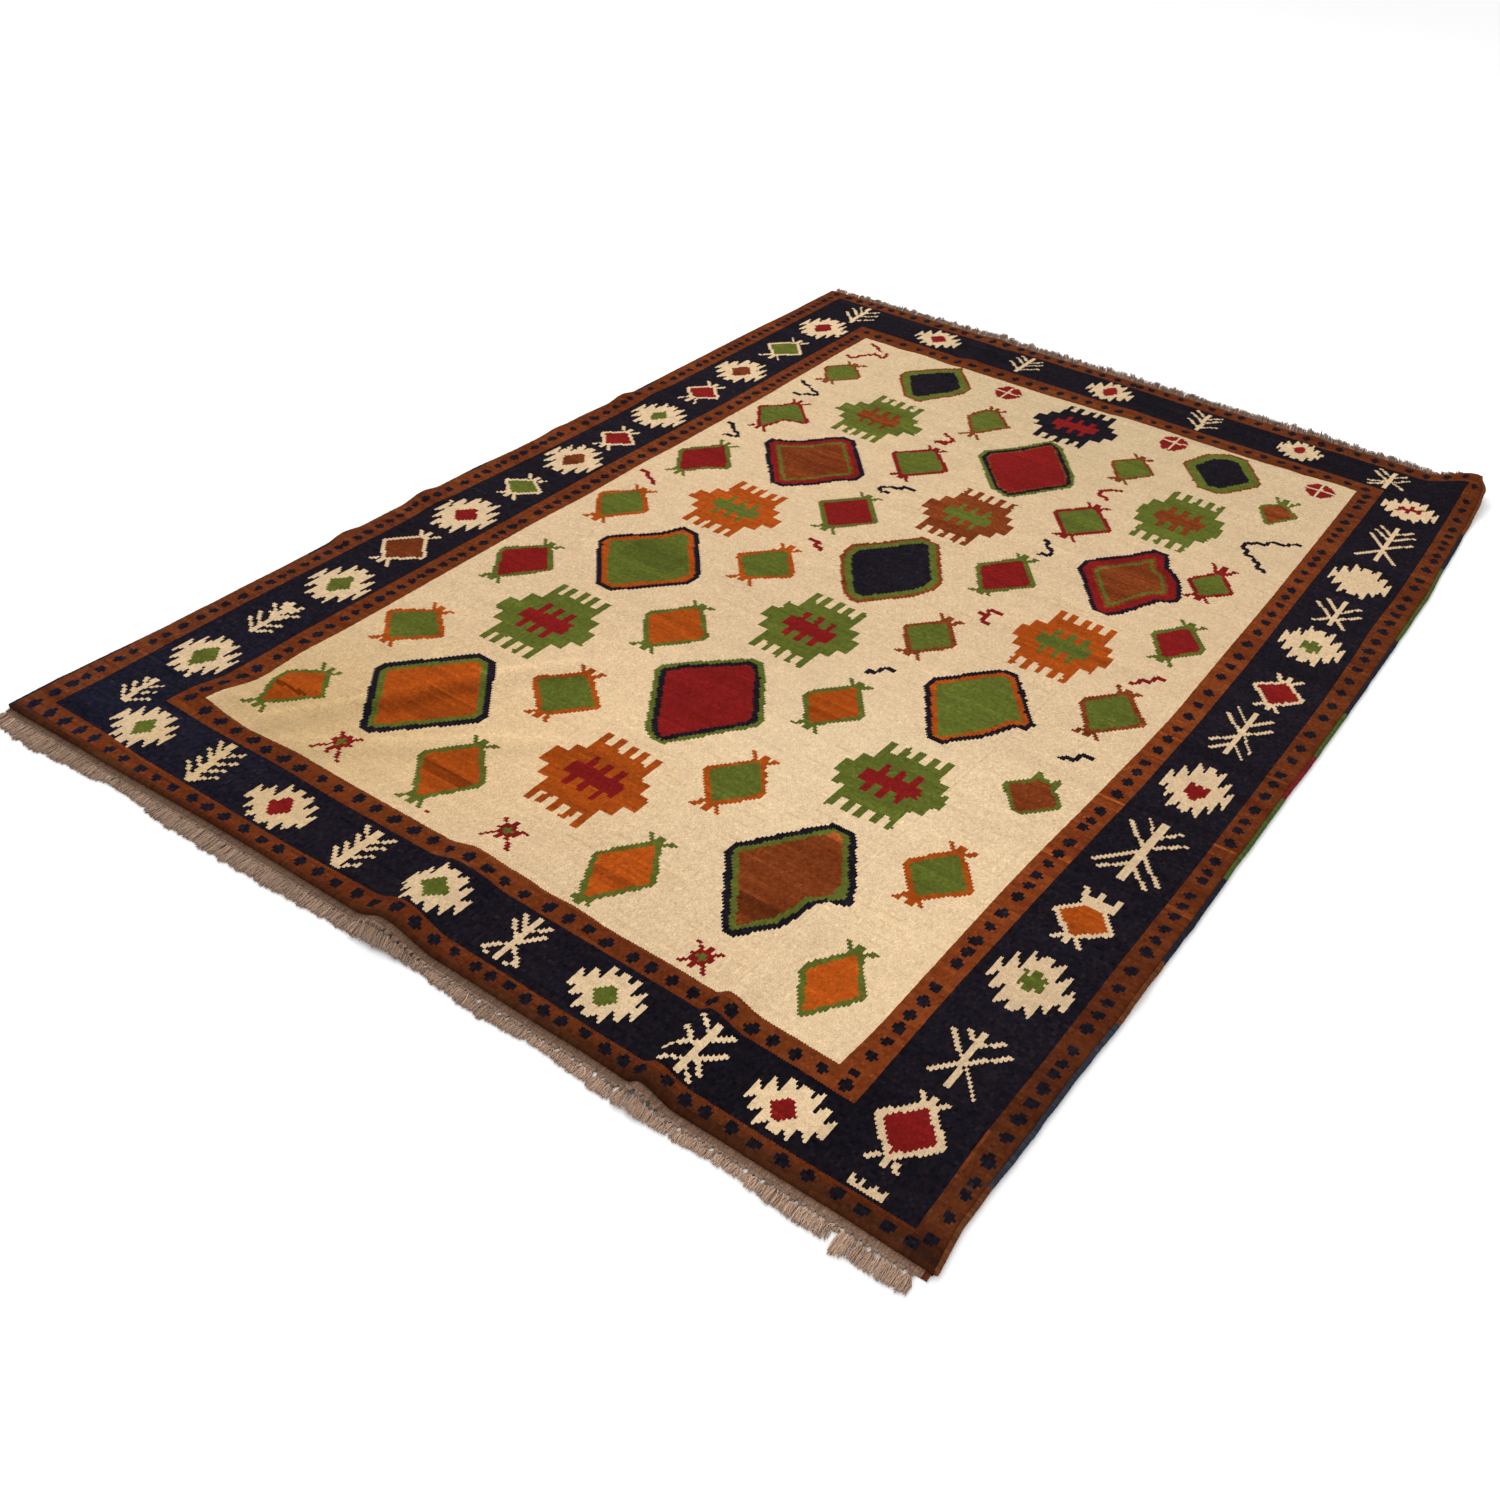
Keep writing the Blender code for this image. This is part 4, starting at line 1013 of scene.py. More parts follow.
# The pile: one face for each knot, its edges rounded down to the foundation
pileSettings = {
    "napUnevenness": 0.00045,
    "knotWander": 0.0004,
    "scallop": 0.0018,
    "sideDrops": (0.0093, 0.0056, 0.0022, 0.0002),
    "endDrops": (0.0068, 0.0045, 0.0018, 0.0002),
    "sideOutsets": (0.0001, 0.0005),
    "endOutsets": (0.0004, 0.0010),
    "waves": 0.0005,
    "wavesX": (7.0, 1.3),  # how close the waves come, and where they start
    "wavesY": (5.0, 0.4),
}
pileWool = {
    "mottle": 0.07, "grainScale": 430.0, "grain": 0.0010, "fibreScale": 900.0, "fibre": 0.0005,
    "darkest": 0.70,
}
pileRandom = np.random.default_rng(31)


# Lines of the straight sheet with two more beyond each edge, and how far each stands under the pile
def sheetLines(start, length, count, outsets, drops):
    inner = start + length * np.arange(count + 1) / count
    lines = np.concatenate([[start - outsets[0], start - outsets[1]], inner,
                            [inner[-1] + outsets[1], inner[-1] + outsets[0]]])
    lineDrops = np.zeros(len(lines))
    lineDrops[:4] = drops
    lineDrops[-4:] = drops[::-1]
    return lines, lineDrops


linesX, dropsX = sheetLines(sidesX[0], sheetSizes["width"], knotChart["columns"],
                            pileSettings["sideOutsets"], pileSettings["sideDrops"])
linesY, dropsY = sheetLines(endsY[0], sheetSizes["length"], knotChart["rows"],
                            pileSettings["endOutsets"], pileSettings["endDrops"])
pileX, pileY = rugGrid(linesX, linesY)
inner = (slice(3, -3), slice(3, -3))  # all lines but the outermost, which stay straight
for table in (pileX, pileY):
    table[inner] += pileRandom.uniform(-1.0, 1.0, table[inner].shape) * pileSettings["knotWander"]
pileLift = liftAt(pileX, pileY)
pileZ = pileLift + sheetSizes["thickness"] - np.maximum(dropsX[None, :], dropsY[:, None])
(waveX, startX), (waveY, startY) = pileSettings["wavesX"], pileSettings["wavesY"]
pileZ += pileSettings["waves"] * np.sin(waveX * pileX + startX) * np.sin(waveY * pileY + startY)
pileZ[inner] += pileRandom.uniform(-1.0, 0.4, pileZ[inner].shape) * pileSettings["napUnevenness"]

faceRows = np.clip(np.arange(len(linesY) - 1) - 2, 0, knotChart["rows"] - 1)
faceColumns = np.clip(np.arange(len(linesX) - 1) - 2, 0, knotChart["columns"] - 1)
pileColours = knotColours[faceRows][:, faceColumns]
pileChart = chart[faceRows][:, faceColumns]

pileMaterial = woolMaterial("wool pile", **pileWool)


# A stretch of the sheet from one line to another, with the chart's colours and an even layout.
# Where the dye changes from row to row, each knot's tip hangs over the row below as a scallop.
def sheetPiece(name, rows, columns, heights, colours, material, scalloped=None):
    points = toFrame(pileX[rows][:, columns], pileY[rows][:, columns], heights[rows][:, columns])
    tall, wide = len(rows), len(columns)
    spots = np.stack(np.meshgrid(*(np.linspace(0.002, 0.998, count) for count in (wide, tall))), -1)
    corners = np.arange(tall * wide).reshape(tall, wide)
    points, spots = points.reshape(-1, 3), spots.reshape(-1, 2)
    tips = np.full((tall, wide - 1), -1)
    if scalloped is not None:
        changes = scalloped[1:] != scalloped[:-1]
        tips[1:-1][changes] = len(points) + np.arange(changes.sum())
        left, right = corners[1:-1, :-1][changes], corners[1:-1, 1:][changes]
        share = pileSettings["scallop"] / knotHeight
        tipSpots = 0.5 * (spots[left] + spots[right]) - (0.0, share / (tall - 1))
        tipPoints = 0.5 * (points[left] + points[right])
        tipPoints[:, 1] -= pileSettings["scallop"] * pileRandom.uniform(0.7, 1.2, len(left))
        points, spots = np.concatenate([points, tipPoints]), np.concatenate([spots, tipSpots])
    around = np.stack([corners[:-1, :-1], tips[:-1], corners[:-1, 1:], corners[1:, 1:], tips[1:],
                       corners[1:, :-1]], -1).reshape(-1, 6)
    faces = [[corner for corner in face if corner >= 0] for face in around.tolist()]
    counts = np.array([len(face) for face in faces])
    piece = meshPiece(name, points.tolist(), faces, material)
    colourFaces(piece, colours.reshape(-1, 3), counts)
    layout = piece.data.uv_layers.new(name="OFBake")
    flat = spots[np.concatenate(faces)]
    layout.data.foreach_set("uv", flat.astype(np.float32).ravel())
    return piece


middleLine = len(linesY) // 2
allColumns = np.arange(len(linesX))
for name, firstLine, lastLine in (("pileNear", 0, middleLine), ("pileFar", middleLine, len(linesY) - 1)):
    rows = np.arange(firstLine, lastLine + 1)
    between = rows[:-1]
    half = sheetPiece(name, rows, allColumns, pileZ, pileColours[between], pileMaterial, pileChart[between])
    place(half, "rug_pile", "wool_pile")
print("pile made,", len(linesX) - 1, "by", len(linesY) - 1, "faces")

# The back of the foundation, where the knots show as a coarser, duller copy
backSettings = {"standOff": 0.0005, "step": 2, "dullness": 0.72}
backRows, backColumns = (
    np.unique(np.append(np.arange(1, count - 1, backSettings["step"]), count - 2))
    for count in (len(linesY), len(linesX))
)
backColours = pileColours[backRows[:-1]][:, backColumns[:-1]] * backSettings["dullness"]
rugBack = sheetPiece("rugBack", backRows, backColumns, pileLift + backSettings["standOff"], backColours,
                     pileMaterial)
rugBack.data.flip_normals()
place(rugBack, "rug_pile", "wool_pile")
print("back made")

# Side cords: yarn wound over the outer warps
cordSettings = {
    "width": 0.009,
    "height": 0.0084,
    "sink": 0.0016,
    "wrapPitch": 0.0034,
    "ringsPerWrap": 3,
    "sides": 10,
    "wrapDepth": 0.12,
    "lean": 0.35,
    "slant": 0.0004,
    "endGap": 0.002,
    "wander": 0.0004,
    "wanderPoints": 90,
    "fullness": (0.93, 1.05),
    "fullnessPoints": 700,
    "shades": 0.16,
}
cordWool = {
    "mottle": 0.10, "grainScale": 420.0, "grain": 0.0008, "fibreScale": 1300.0, "fibre": 0.0004,
    "darkest": 0.75,
}
cordColours = {
    "brown": (0.120, 0.040, 0.015),
    "navy": (0.016, 0.017, 0.026),
    "slate": (0.030, 0.034, 0.046),
    "green": (0.060, 0.088, 0.022),
    "red": (0.150, 0.016, 0.018),
}
# Where each stretch of yarn ends, by y
rightStretches = (
    (0.145, "brown"), (0.484, "slate"), (0.636, "brown"), (0.859, "navy"), (1.106, "green"),
    (1.250, "red"), (1.408, "green"), (1.708, "navy"), (2.040, "green"), (2.221, "navy"), (2.500, "brown"),
)
leftStretches = (
    (0.246, "navy"), (0.640, "brown"), (0.700, "navy"), (1.080, "brown"), (1.130, "navy"),
    (1.620, "brown"), (1.690, "navy"), (2.500, "brown"),
)
cordRandom = np.random.default_rng(41)
cordMaterial = woolMaterial("overcast yarn", **cordWool)


# Random values drawn for even places along a cord, read at y
def alongCord(y, draw, count):
    return np.interp(y, np.linspace(0.0, 2.5, count), draw(count))


def sideCord(name, side, stretches):
    ringStep = cordSettings["wrapPitch"] / cordSettings["ringsPerWrap"]
    ringCount = int(sheetSizes["length"] / ringStep)
    sides, gap = cordSettings["sides"], cordSettings["endGap"]
    straight = endsY[0] + gap + (sheetSizes["length"] - 2.0 * gap) * np.linspace(0.0, 1.0, ringCount)
    edgeX, y = planPoint(np.full(ringCount, sidesX[side > 0]), straight)
    base = liftAt(edgeX, y)
    wander = alongCord(y, lambda count: cordRandom.normal(0.0, cordSettings["wander"], count),
                       cordSettings["wanderPoints"])
    centreX = edgeX + side * (0.5 * cordSettings["width"] - cordSettings["sink"]) + wander
    turn = 2.0 * math.pi * np.arange(sides) / sides
    phase = math.pi * (straight[:, None] / cordSettings["wrapPitch"] + cordSettings["lean"] * turn / math.pi)
    wrapSize = alongCord(y, lambda count: cordRandom.uniform(*cordSettings["fullness"], count),
                         cordSettings["fullnessPoints"])[:, None]
    fullness = wrapSize * (1.0 - cordSettings["wrapDepth"] * (1.0 - np.abs(np.sin(phase))))
    x = centreX[:, None] + 0.5 * cordSettings["width"] * fullness * np.cos(turn)
    z = base[:, None] + cordSettings["height"] * (0.5 + 0.5 * fullness * np.sin(turn))
    slantY = y[:, None] + cordSettings["slant"] * np.sin(turn)[None, :]
    points = toFrame(x, slantY, z).reshape(-1, 3)
    corners = np.arange(ringCount * sides).reshape(ringCount, -1)
    following = np.roll(corners, -1, axis=1)
    faces = np.stack([corners[:-1], following[:-1], following[1:], corners[1:]], -1).reshape(-1, 4).tolist()
    counts = np.array([4] * len(faces) + [sides] * 2)
    faces += [corners[0][::-1].tolist(), corners[-1].tolist()]
    names = [next(colour for end, colour in stretches if ringY < end) for ringY in y[:-1]]
    wraps = (straight[:-1] / cordSettings["wrapPitch"]).astype(int)
    wrapShades = np.exp(cordRandom.normal(0.0, cordSettings["shades"], wraps.max() + 1))[wraps]
    colours = np.array([cordColours[colour] for colour in names]) * wrapShades[:, None]
    colours = np.repeat(colours, sides, axis=0)
    colours = np.concatenate([colours, colours[:1], colours[-1:]])
    cord = meshPiece(name, points.tolist(), faces, cordMaterial)
    colourFaces(cord, colours, counts)
    return cord


place(sideCord("leftCord", -1, leftStretches), "side_cord_left", "side_overcasting")
place(sideCord("rightCord", 1, rightStretches), "side_cord_right", "side_overcasting")
print("side cords made")

# The ends: a flat-woven strip, warps gathered into knots, and a brush of cut yarn
# Depth of the strip and reach of the yarn beyond it, by x
nearReach = (
    (-0.020, 0.010, 0.014), (0.020, 0.012, 0.030), (0.090, 0.012, 0.033), (0.200, 0.012, 0.026),
    (0.280, 0.013, 0.017), (0.430, 0.014, 0.030), (0.560, 0.014, 0.031), (0.760, 0.014, 0.023),
    (0.900, 0.014, 0.018), (1.000, 0.014, 0.026), (1.100, 0.013, 0.019), (1.230, 0.013, 0.027),
    (1.400, 0.013, 0.020), (1.520, 0.012, 0.028), (1.640, 0.012, 0.032), (1.700, 0.012, 0.030),
)
farReach = (
    (-0.020, 0.006, 0.022), (0.250, 0.007, 0.026), (0.320, 0.008, 0.032), (0.600, 0.008, 0.036),
    (1.000, 0.008, 0.033), (1.300, 0.008, 0.034), (1.420, 0.008, 0.027), (1.530, 0.008, 0.028),
    (1.585, 0.006, 0.009), (1.640, 0.005, 0.008), (1.700, 0.005, 0.012),
)
stripSettings = {
    "thickness": 0.003,
    "columnStep": 0.0016,
    "rows": 8,
    "rib": 0.00035,
    "ribPitch": 0.0032,
    "ribWaves": 3.0,
    "tuck": 0.002,
    "ragged": 0.0004,
    "bumps": 0.00015,
    "thinFrom": 0.78,
    "thinOver": 0.22,
    "thinning": 0.75,
    "shades": 0.14,
    "dyeing": (1.0, 0.86, 0.80),
    "brownEnd": 0.009,
    "toneX": (0.0, 0.5, 1.1, 1.6),
    "tone": (0.42, 0.42, 0.48, 0.72),
}
yarnColour = np.array([0.350, 0.232, 0.165])
yarnWool = {
    "mottle": 0.12, "grainScale": 700.0, "grain": 0.0007, "fibreScale": 1800.0, "fibre": 0.0004,
    "darkest": 0.70,
}
yarnMaterial = woolMaterial("warp yarn", **yarnWool)
yarnRandom = np.random.default_rng(51)


# The plan place of an end's edge at some x; direction is -1 at the near end and 1 at the far one
def endEdge(x, direction, count=800):
    edgeX, edgeY = planPoint(np.linspace(*sidesX, count), np.full(count, endsY[direction > 0]))
    return np.interp(x, edgeX, edgeY)


def endSpan(direction):
    return planPoint(np.array(sidesX), np.full(2, endsY[direction > 0]))[0]


def wovenStrip(name, direction, reach):
    start, end = endSpan(direction)
    count = int((end - start) / stripSettings["columnStep"])
    x = np.linspace(start + 0.001, end - 0.001, count)
    depth = readTable(reach, x, 1)
    edge = endEdge(x, direction)
    share = np.linspace(0.0, 1.0, stripSettings["rows"])
    ragged = yarnRandom.normal(0.0, stripSettings["ragged"], (len(share), count)) * share[:, None]
    tuck = stripSettings["tuck"]
    y = edge + direction * (share[:, None] * (depth + tuck) - tuck) + ragged
    wide = np.broadcast_to(x, y.shape)
    thinned = np.clip((share - stripSettings["thinFrom"]) / stripSettings["thinOver"], 0.0, 1.0)
    height = stripSettings["thickness"] * (1.0 - stripSettings["thinning"] * thinned ** 2)
    waves = np.cos(math.pi * stripSettings["ribWaves"] * share[:, None])
    rib = stripSettings["rib"] * (np.sin(math.pi * wide / stripSettings["ribPitch"]) * waves)
    z = liftAt(wide, y) + height[:, None] + rib + yarnRandom.normal(0.0, stripSettings["bumps"], y.shape)
    z[0] -= 0.0004  # tucked under the pile
    points = toFrame(wide, y, z).reshape(-1, 3)
    corners = np.arange(points.shape[0]).reshape(y.shape)
    faces = np.stack([corners[:-1, :-1], corners[:-1, 1:], corners[1:, 1:], corners[1:, :-1]], -1)
    if direction < 0:
        faces = faces[..., ::-1]
    uneven = yarnRandom.normal(0.0, stripSettings["shades"], faces.shape[:2])
    shades = np.exp(uneven + yarnRandom.normal(0.0, stripSettings["shades"], faces.shape[1]))
    # painted shadow of the pile's edge: the rows nearest the pile are darker
    shades *= np.interp(0.5 * (share[1:] + share[:-1]), [0.0, 0.25, 1.0], [0.50, 0.85, 1.0])[:, None]
    shades *= np.interp(x[1:], stripSettings["toneX"], stripSettings["tone"])
    strip = meshPiece(name, points.tolist(), faces.reshape(-1, 4).tolist(), yarnMaterial)
    colours = np.broadcast_to(yarnColour * stripSettings["dyeing"], faces.shape[:2] + (3,)).copy()
    if direction < 0:
        colours[:, x[1:] > end - stripSettings["brownEnd"]] = np.array(cordColours["brown"]) * (1.2, 1.0, 1.0)
    colourFaces(strip, (colours * shades[..., None]).reshape(-1, 3))
    return strip


# Many yarns at once: middles are yarns x points x 3, radii are yarns x points
def yarnPiece(name, middles, radii, shades, sides=4):
    count, steps = radii.shape
    heading = np.gradient(middles, axis=1)
    heading /= np.linalg.norm(heading, axis=2, keepdims=True) + 1e-9
    across = np.cross(heading, np.array([0.0, 0.0, 1.0]))
    across /= np.linalg.norm(across, axis=2, keepdims=True) + 1e-9
    upward = np.cross(across, heading)
    turn = 2.0 * math.pi * (np.arange(sides) + 0.5) / sides
    around = across[:, :, None] * np.cos(turn)[:, None] + upward[:, :, None] * np.sin(turn)[:, None]
    points = middles[:, :, None] + radii[:, :, None, None] * around
    points[..., 2] = np.maximum(points[..., 2], 0.0001)
    corners = np.arange(count * steps * sides).reshape(count, steps, sides)
    following = np.roll(corners, -1, axis=2)
    faces = np.stack([corners[:, :-1], following[:, :-1], following[:, 1:], corners[:, 1:]], -1)
    faces = faces.reshape(-1, 4).tolist() + corners[:, -1].tolist() + corners[:, 0][:, ::-1].tolist()
    colours = yarnColour * shades[:, None]
    colours = np.concatenate([np.repeat(colours, (steps - 1) * sides, axis=0), colours, colours])
    counts = np.array([4] * (count * (steps - 1) * sides) + [sides] * (2 * count))
    points = toFrame(points[..., 0], points[..., 1], points[..., 2]).reshape(-1, 3)
    piece = meshPiece(name, points.tolist(), faces, yarnMaterial)
    colourFaces(piece, colours, counts)
    return piece


# Knots are short fat yarns, narrow at both ends
knotShape = {
    "along": [0.0, 0.12, 0.35, 0.65, 0.88, 1.0],
    "wide": [0.25, 0.72, 1.0, 1.0, 0.72, 0.25],
    "sizes": (0.85, 1.15),
    "shades": (0.40, 0.62),
    "sides": 7,
}


def knotPiece(name, x, y, z, size, length):
    width = size * yarnRandom.uniform(*knotShape["sizes"], len(x))
    along = length * (np.array(knotShape["along"]) - 0.5)
    middles = np.stack(np.broadcast_arrays(x[:, None], y[:, None] + along, z[:, None]), -1)
    radii = width[:, None] * np.array(knotShape["wide"])
    shades = yarnRandom.uniform(*knotShape["shades"], len(x))
    return yarnPiece(name, middles, radii, shades, knotShape["sides"])


nearSettings = {
    "pitch": 0.0124,
    "endGap": 0.006,
    "wander": 0.0015,
    "knotOut": 0.0062,
    "knotSize": 0.0026,
    "knotLength": 0.0056,
    "knotHeight": 0.0026,
    "legs": 6,
    "legSize": 0.00125,
    "yarns": 26,
    "yarnSize": 0.00095,
    "spread": 0.0080,
    "sway": 0.0007,
    "lean": 0.05,
    "lowest": 0.0009,
    "layers": 0.0030,
    "tornX": 1.562,
    "tornReach": 0.0062,
    "looseX": 1.575,
    "looseReach": 0.0060,
    "lengths": (0.92, 1.10),
    "tornLength": 0.35,
    "looseLength": 1.25,
}
# How open the holes between the knots are, by x
nearOpenness = ((0.0, 0.0), (0.70, 0.10), (0.95, 0.75), (1.15, 1.0))
start, end = endSpan(-1)
knotCount = int((end - start - nearSettings["endGap"]) / nearSettings["pitch"])
knotPlaces = start + nearSettings["endGap"] + nearSettings["pitch"] * (np.arange(knotCount) + 0.3)
knotPlaces += yarnRandom.uniform(-nearSettings["wander"], nearSettings["wander"], knotCount)
knotEdge = endEdge(knotPlaces, -1) - readTable(nearReach, knotPlaces, 1)
knotLength = readTable(nearReach, knotPlaces, 2) * yarnRandom.uniform(*nearSettings["lengths"], knotCount)
torn = np.abs(knotPlaces - nearSettings["tornX"]) < nearSettings["tornReach"]
loose = np.abs(knotPlaces - nearSettings["looseX"]) < nearSettings["looseReach"]
knotLength = np.where(loose, nearSettings["looseLength"] * knotLength, knotLength)
knotLength = np.where(torn, nearSettings["tornLength"] * knotLength, knotLength)
openness = readTable(nearOpenness, knotPlaces, 1)
openness *= yarnRandom.uniform(0.5, 1.1, knotCount)
knotOut = np.minimum(nearSettings["knotOut"] * (0.45 + 0.55 * openness), 0.4 * knotLength)
knotLift = liftAt(knotPlaces, knotEdge)


def nearYarns():
    perKnot, steps = nearSettings["yarns"], 6
    owner = np.repeat(np.arange(knotCount), perKnot)
    count = len(owner)
    fan = yarnRandom.uniform(-1.0, 1.0, count)
    layer = yarnRandom.uniform(0.0, 1.0, count)
    reach = knotLength[owner] * yarnRandom.uniform(0.84, 1.06, count) * (1.0 - 0.08 * fan ** 2)
    share = np.linspace(0.0, 1.0, steps)[None, :]
    out = knotOut[owner][:, None] + (reach - knotOut[owner])[:, None] * share
    sway = yarnRandom.normal(0.0, nearSettings["sway"], (count, steps)).cumsum(axis=1)
    gathered = 0.30 + 0.45 * (1.0 - openness[owner])[:, None]  # held together where the knot leaves no hole
    fanned = gathered + (1.0 - gathered) * np.minimum(share * 2.2, 1.0) ** 0.6
    x = knotPlaces[owner][:, None] + fan[:, None] * nearSettings["spread"] * fanned + sway
    x += nearSettings["lean"] * (out - knotOut[owner][:, None])
    y = knotEdge[owner][:, None] - out
    base = liftAt(knotPlaces[owner], knotEdge[owner])[:, None]
    base = base * (1.0 - 0.85 * np.clip(out / knotLength[owner][:, None], 0.0, 1.0))
    z = base + nearSettings["lowest"] + layer[:, None] * nearSettings["layers"] * (1.0 - 0.35 * share)
    z += np.abs(yarnRandom.normal(0.0, 0.00035, (count, steps)))
    radii = nearSettings["yarnSize"] * yarnRandom.uniform(0.8, 1.15, (count, 1)) * (1.0 - 0.25 * share)
    # painted shade inside the brush: the lower a yarn lies, the darker it is
    shades = np.exp(yarnRandom.normal(0.0, 0.18, count)) * (0.80 + 0.25 * layer)
    shades *= 1.0 + 0.35 * ease((knotPlaces[owner] - 0.9) / 0.4)  # paler on the right
    return yarnPiece("nearBrush", np.stack([x, y, z], -1), radii, shades)


# The warps that run from the strip into each knot
def nearLegs():
    perKnot, steps = nearSettings["legs"], 4
    owner = np.repeat(np.arange(knotCount), perKnot)
    offset = np.tile(np.linspace(-0.45, 0.45, perKnot), knotCount) * nearSettings["pitch"]
    share = np.linspace(0.0, 1.0, steps)[None, :]
    gathering = (0.25 + 0.42 * openness[owner])[:, None]
    x = knotPlaces[owner][:, None] + offset[:, None] * (1.0 - gathering * share ** 0.8)
    y = knotEdge[owner][:, None] + 0.0015 - (knotOut[owner][:, None] + 0.0025) * share
    z = knotLift[owner][:, None] + 0.0021 + 0.0004 * share
    radii = np.full(x.shape, nearSettings["legSize"]) * (1.0 - 0.10 * share)
    shades = np.exp(yarnRandom.normal(-0.30, 0.18, len(owner)))
    return yarnPiece("nearWarps", np.stack([x, y, z], -1), radii, shades)


nearStrip = wovenStrip("nearStrip", -1, nearReach)
nearKnots = knotPiece("nearKnots", knotPlaces, knotEdge - knotOut, knotLift + nearSettings["knotHeight"],
                      nearSettings["knotSize"], nearSettings["knotLength"])
for piece in (nearStrip, nearYarns(), nearLegs(), nearKnots):
    place(piece, "fringe_near", "warp_yarn")
print("near end made,", knotCount, "knotted tufts")

farSettings = {
    "pitch": 0.0108,
    "startGap": 0.003,
    "endGap": 0.004,
    "wander": 0.0022,
    "knotOut": 0.0012,
    "knotSize": 0.0021,
    "knotLength": 0.0046,
    "knotHeight": 0.0024,
    "yarns": 28,
    "yarnSize": 0.00100,
    "rootWidth": 0.0046,
    "spread": 0.0026,
    "sway": 0.0008,
    "lean": -0.22,
    "leanSpread": 0.07,
    "lowest": 0.0016,
    "layers": 0.0016,
    "rise": 0.009,
}
start, end = endSpan(1)
tuftCount = int((end - start - farSettings["endGap"]) / farSettings["pitch"])
tuftPlaces = start + farSettings["startGap"] + farSettings["pitch"] * (np.arange(tuftCount) + 0.4)
tuftPlaces += yarnRandom.uniform(-farSettings["wander"], farSettings["wander"], tuftCount)
tuftEdge = endEdge(tuftPlaces, 1) + readTable(farReach, tuftPlaces, 1)
tuftLength = readTable(farReach, tuftPlaces, 2) * yarnRandom.uniform(0.80, 1.08, tuftCount)


def farYarns():
    perTuft, steps = farSettings["yarns"], 6
    owner = np.repeat(np.arange(tuftCount), perTuft)
    count = len(owner)
    fan = yarnRandom.uniform(-1.0, 1.0, count)
    reach = tuftLength[owner] * yarnRandom.uniform(0.45, 1.05, count)
    share = np.linspace(0.0, 1.0, steps)[None, :]
    out = -0.0015 + (reach[:, None] + 0.0015) * share
    sway = yarnRandom.normal(0.0, farSettings["sway"], (count, steps)).cumsum(axis=1)
    tuftLean = np.repeat(yarnRandom.normal(0.0, farSettings["leanSpread"], tuftCount), perTuft)
    width = farSettings["rootWidth"] + farSettings["spread"] * share
    x = tuftPlaces[owner][:, None] + fan[:, None] * width + sway
    x += (farSettings["lean"] + tuftLean)[:, None] * out
    y = tuftEdge[owner][:, None] + out
    lifted = liftAt(tuftPlaces[owner], tuftEdge[owner])[:, None]
    rise = np.repeat(yarnRandom.uniform(0.1, 1.0, tuftCount), perTuft) * yarnRandom.uniform(0.4, 1.0, count)
    layer = yarnRandom.uniform(0.0, farSettings["layers"], count)
    z = lifted * (1.0 - 0.2 * share) + farSettings["lowest"] + layer[:, None]
    z = z + farSettings["rise"] * rise[:, None] * np.sin(0.5 * math.pi * share) ** 1.5
    radii = farSettings["yarnSize"] * yarnRandom.uniform(0.8, 1.15, (count, 1)) * (1.0 - 0.30 * share)
    shades = np.exp(yarnRandom.normal(-0.42, 0.38, count))
    return yarnPiece("farBrush", np.stack([x, y, z], -1), radii, shades, 3)


farStrip = wovenStrip("farStrip", 1, farReach)
tuftLift = liftAt(tuftPlaces, tuftEdge)
farKnots = knotPiece("farKnots", tuftPlaces, tuftEdge + farSettings["knotOut"],
                     tuftLift + farSettings["knotHeight"], farSettings["knotSize"], farSettings["knotLength"])
for piece in (farStrip, farYarns(), farKnots):
    place(piece, "fringe_far", "warp_yarn")
print("far end made,", tuftCount, "tufts")

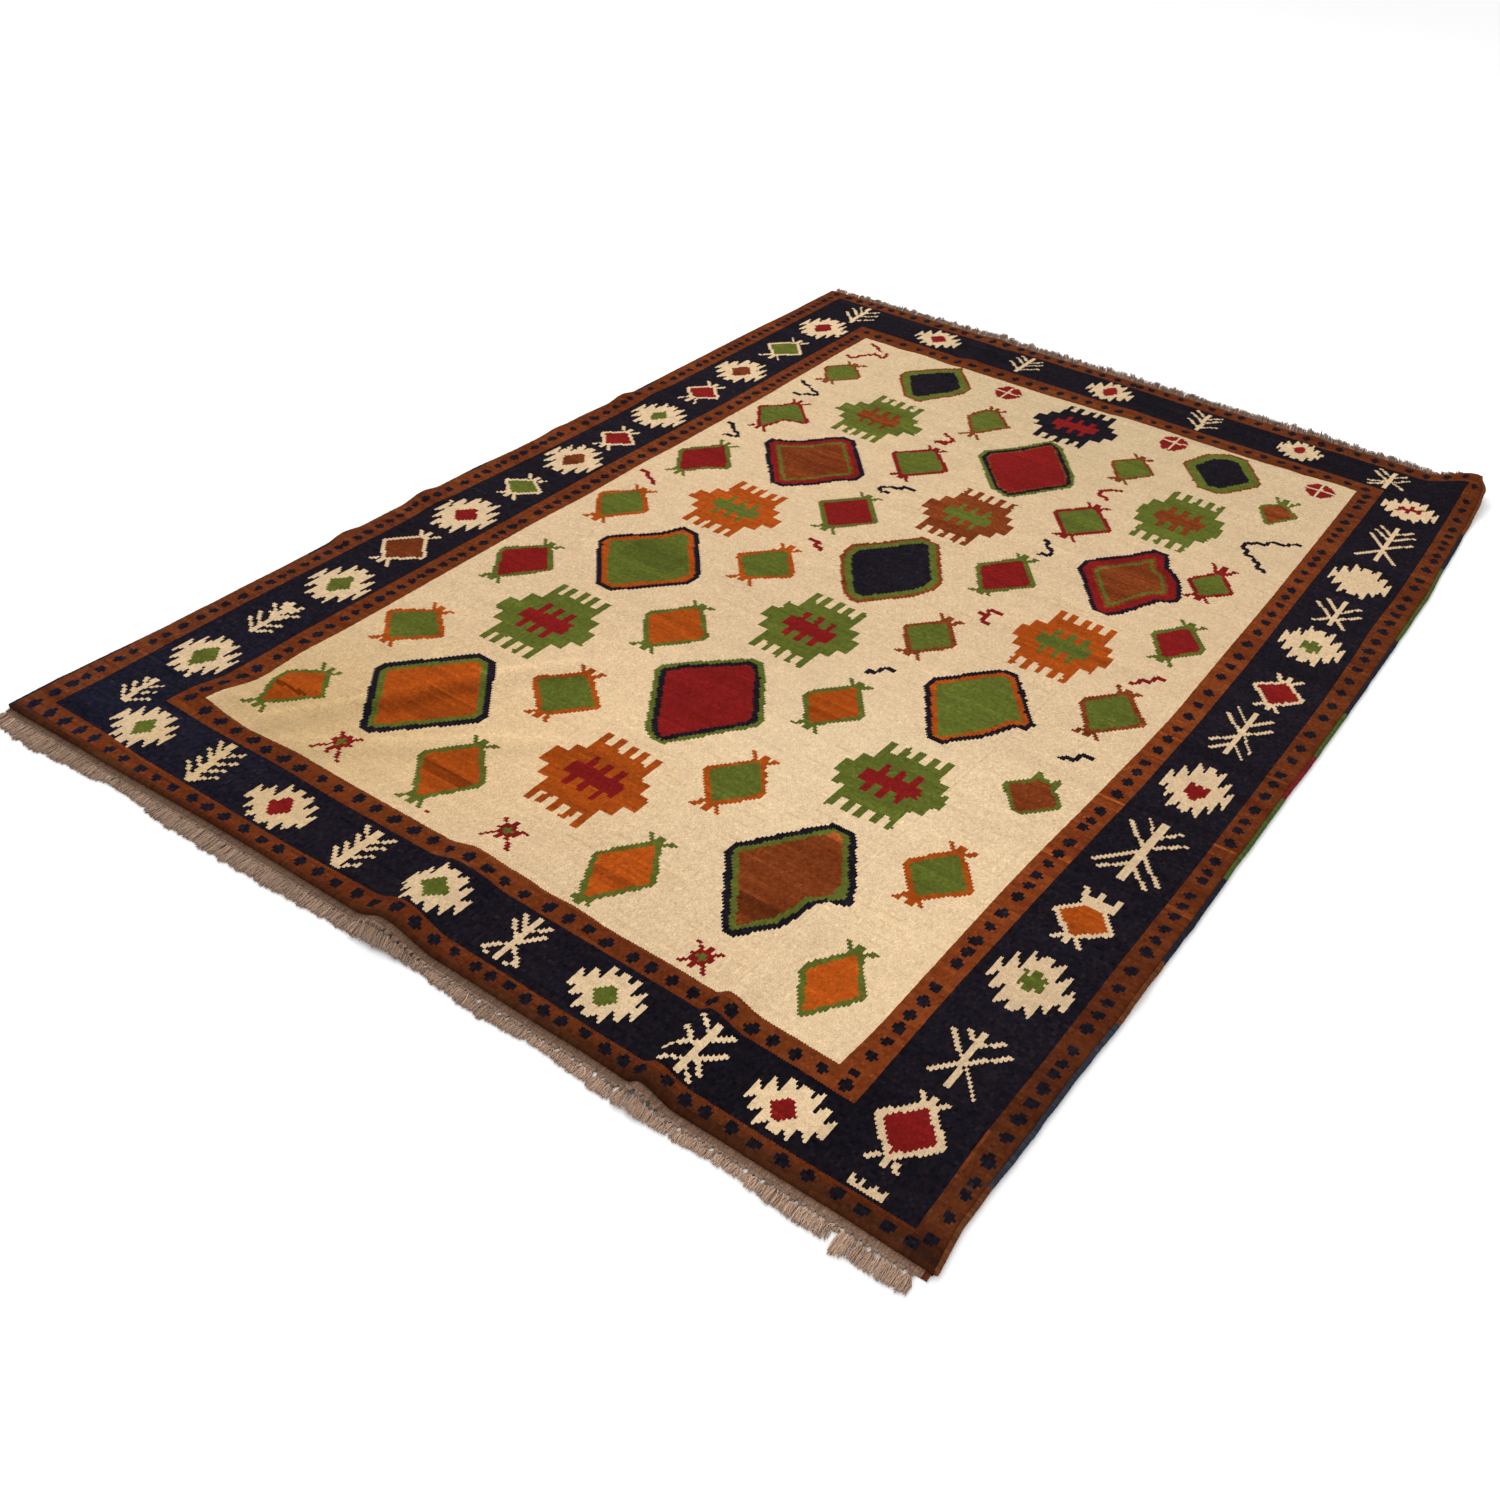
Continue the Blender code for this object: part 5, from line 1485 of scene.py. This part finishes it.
# Floor, light and the photograph's view
studio = {
    "floorReach": 12,
    "floorColour": (0.95, 0.95, 0.95),
    "floorRoughness": 0.9,
    "worldStrength": 1.00,
    "keyPower": 75.0,
    "keyPlace": (-1.6, 2.2, 3.2),
    "keySize": 2.6,
}
floorMesh = bpy.data.meshes.new("floor")
floorCorners = [(x, y, 0) for x, y in box(-studio["floorReach"], studio["floorReach"],
                                          -studio["floorReach"], studio["floorReach"])]
floorMesh.from_pydata(floorCorners, [], [(0, 1, 2, 3)])
floor = bpy.data.objects.new("floor", floorMesh)
bpy.context.scene.collection.objects.link(floor)
floorMaterial = bpy.data.materials.new("pale floor")
floorMaterial.use_nodes = True
floorShader = floorMaterial.node_tree.nodes["Principled BSDF"]
floorShader.inputs["Base Color"].default_value = (*studio["floorColour"], 1.0)
floorShader.inputs["Roughness"].default_value = studio["floorRoughness"]
floorMesh.materials.append(floorMaterial)

world = bpy.data.worlds.new("studio")
world.use_nodes = True
background = world.node_tree.nodes["Background"]
background.inputs["Color"].default_value = (1.0, 1.0, 1.0, 1.0)
background.inputs["Strength"].default_value = studio["worldStrength"]
bpy.context.scene.world = world

keyLight = bpy.data.lights.new("key", "AREA")
keyLight.energy = studio["keyPower"]
keyLight.size = studio["keySize"]
key = bpy.data.objects.new("key", keyLight)
key.location = studio["keyPlace"]
key.rotation_euler = (-Vector(studio["keyPlace"])).to_track_quat("-Z", "Y").to_euler()
bpy.context.scene.collection.objects.link(key)
bpy.context.scene.view_settings.view_transform = "Standard"

viewPlace = Vector([onPlan + start for onPlan, start in zip(photoView["place"], (*planStart, 0.0))])
viewRight = Vector(photoView["right"]).normalized()
viewAhead = Vector(photoView["ahead"]).normalized()
viewUp = viewRight.cross(viewAhead)
cameraData = bpy.data.cameras.new("camera")
cameraData.sensor_fit = "HORIZONTAL"
cameraData.sensor_width = photoView["sensorWidth"]
cameraData.lens = photoView["lens"]
cameraData.clip_end = 60.0
camera = bpy.data.objects.new("camera", cameraData)
turned = Matrix((viewRight, viewUp, -viewAhead)).transposed().to_4x4()
camera.matrix_world = Matrix.Translation(viewPlace) @ turned
bpy.context.scene.collection.objects.link(camera)
bpy.context.scene.camera = camera

bpy.context.view_layer.update()
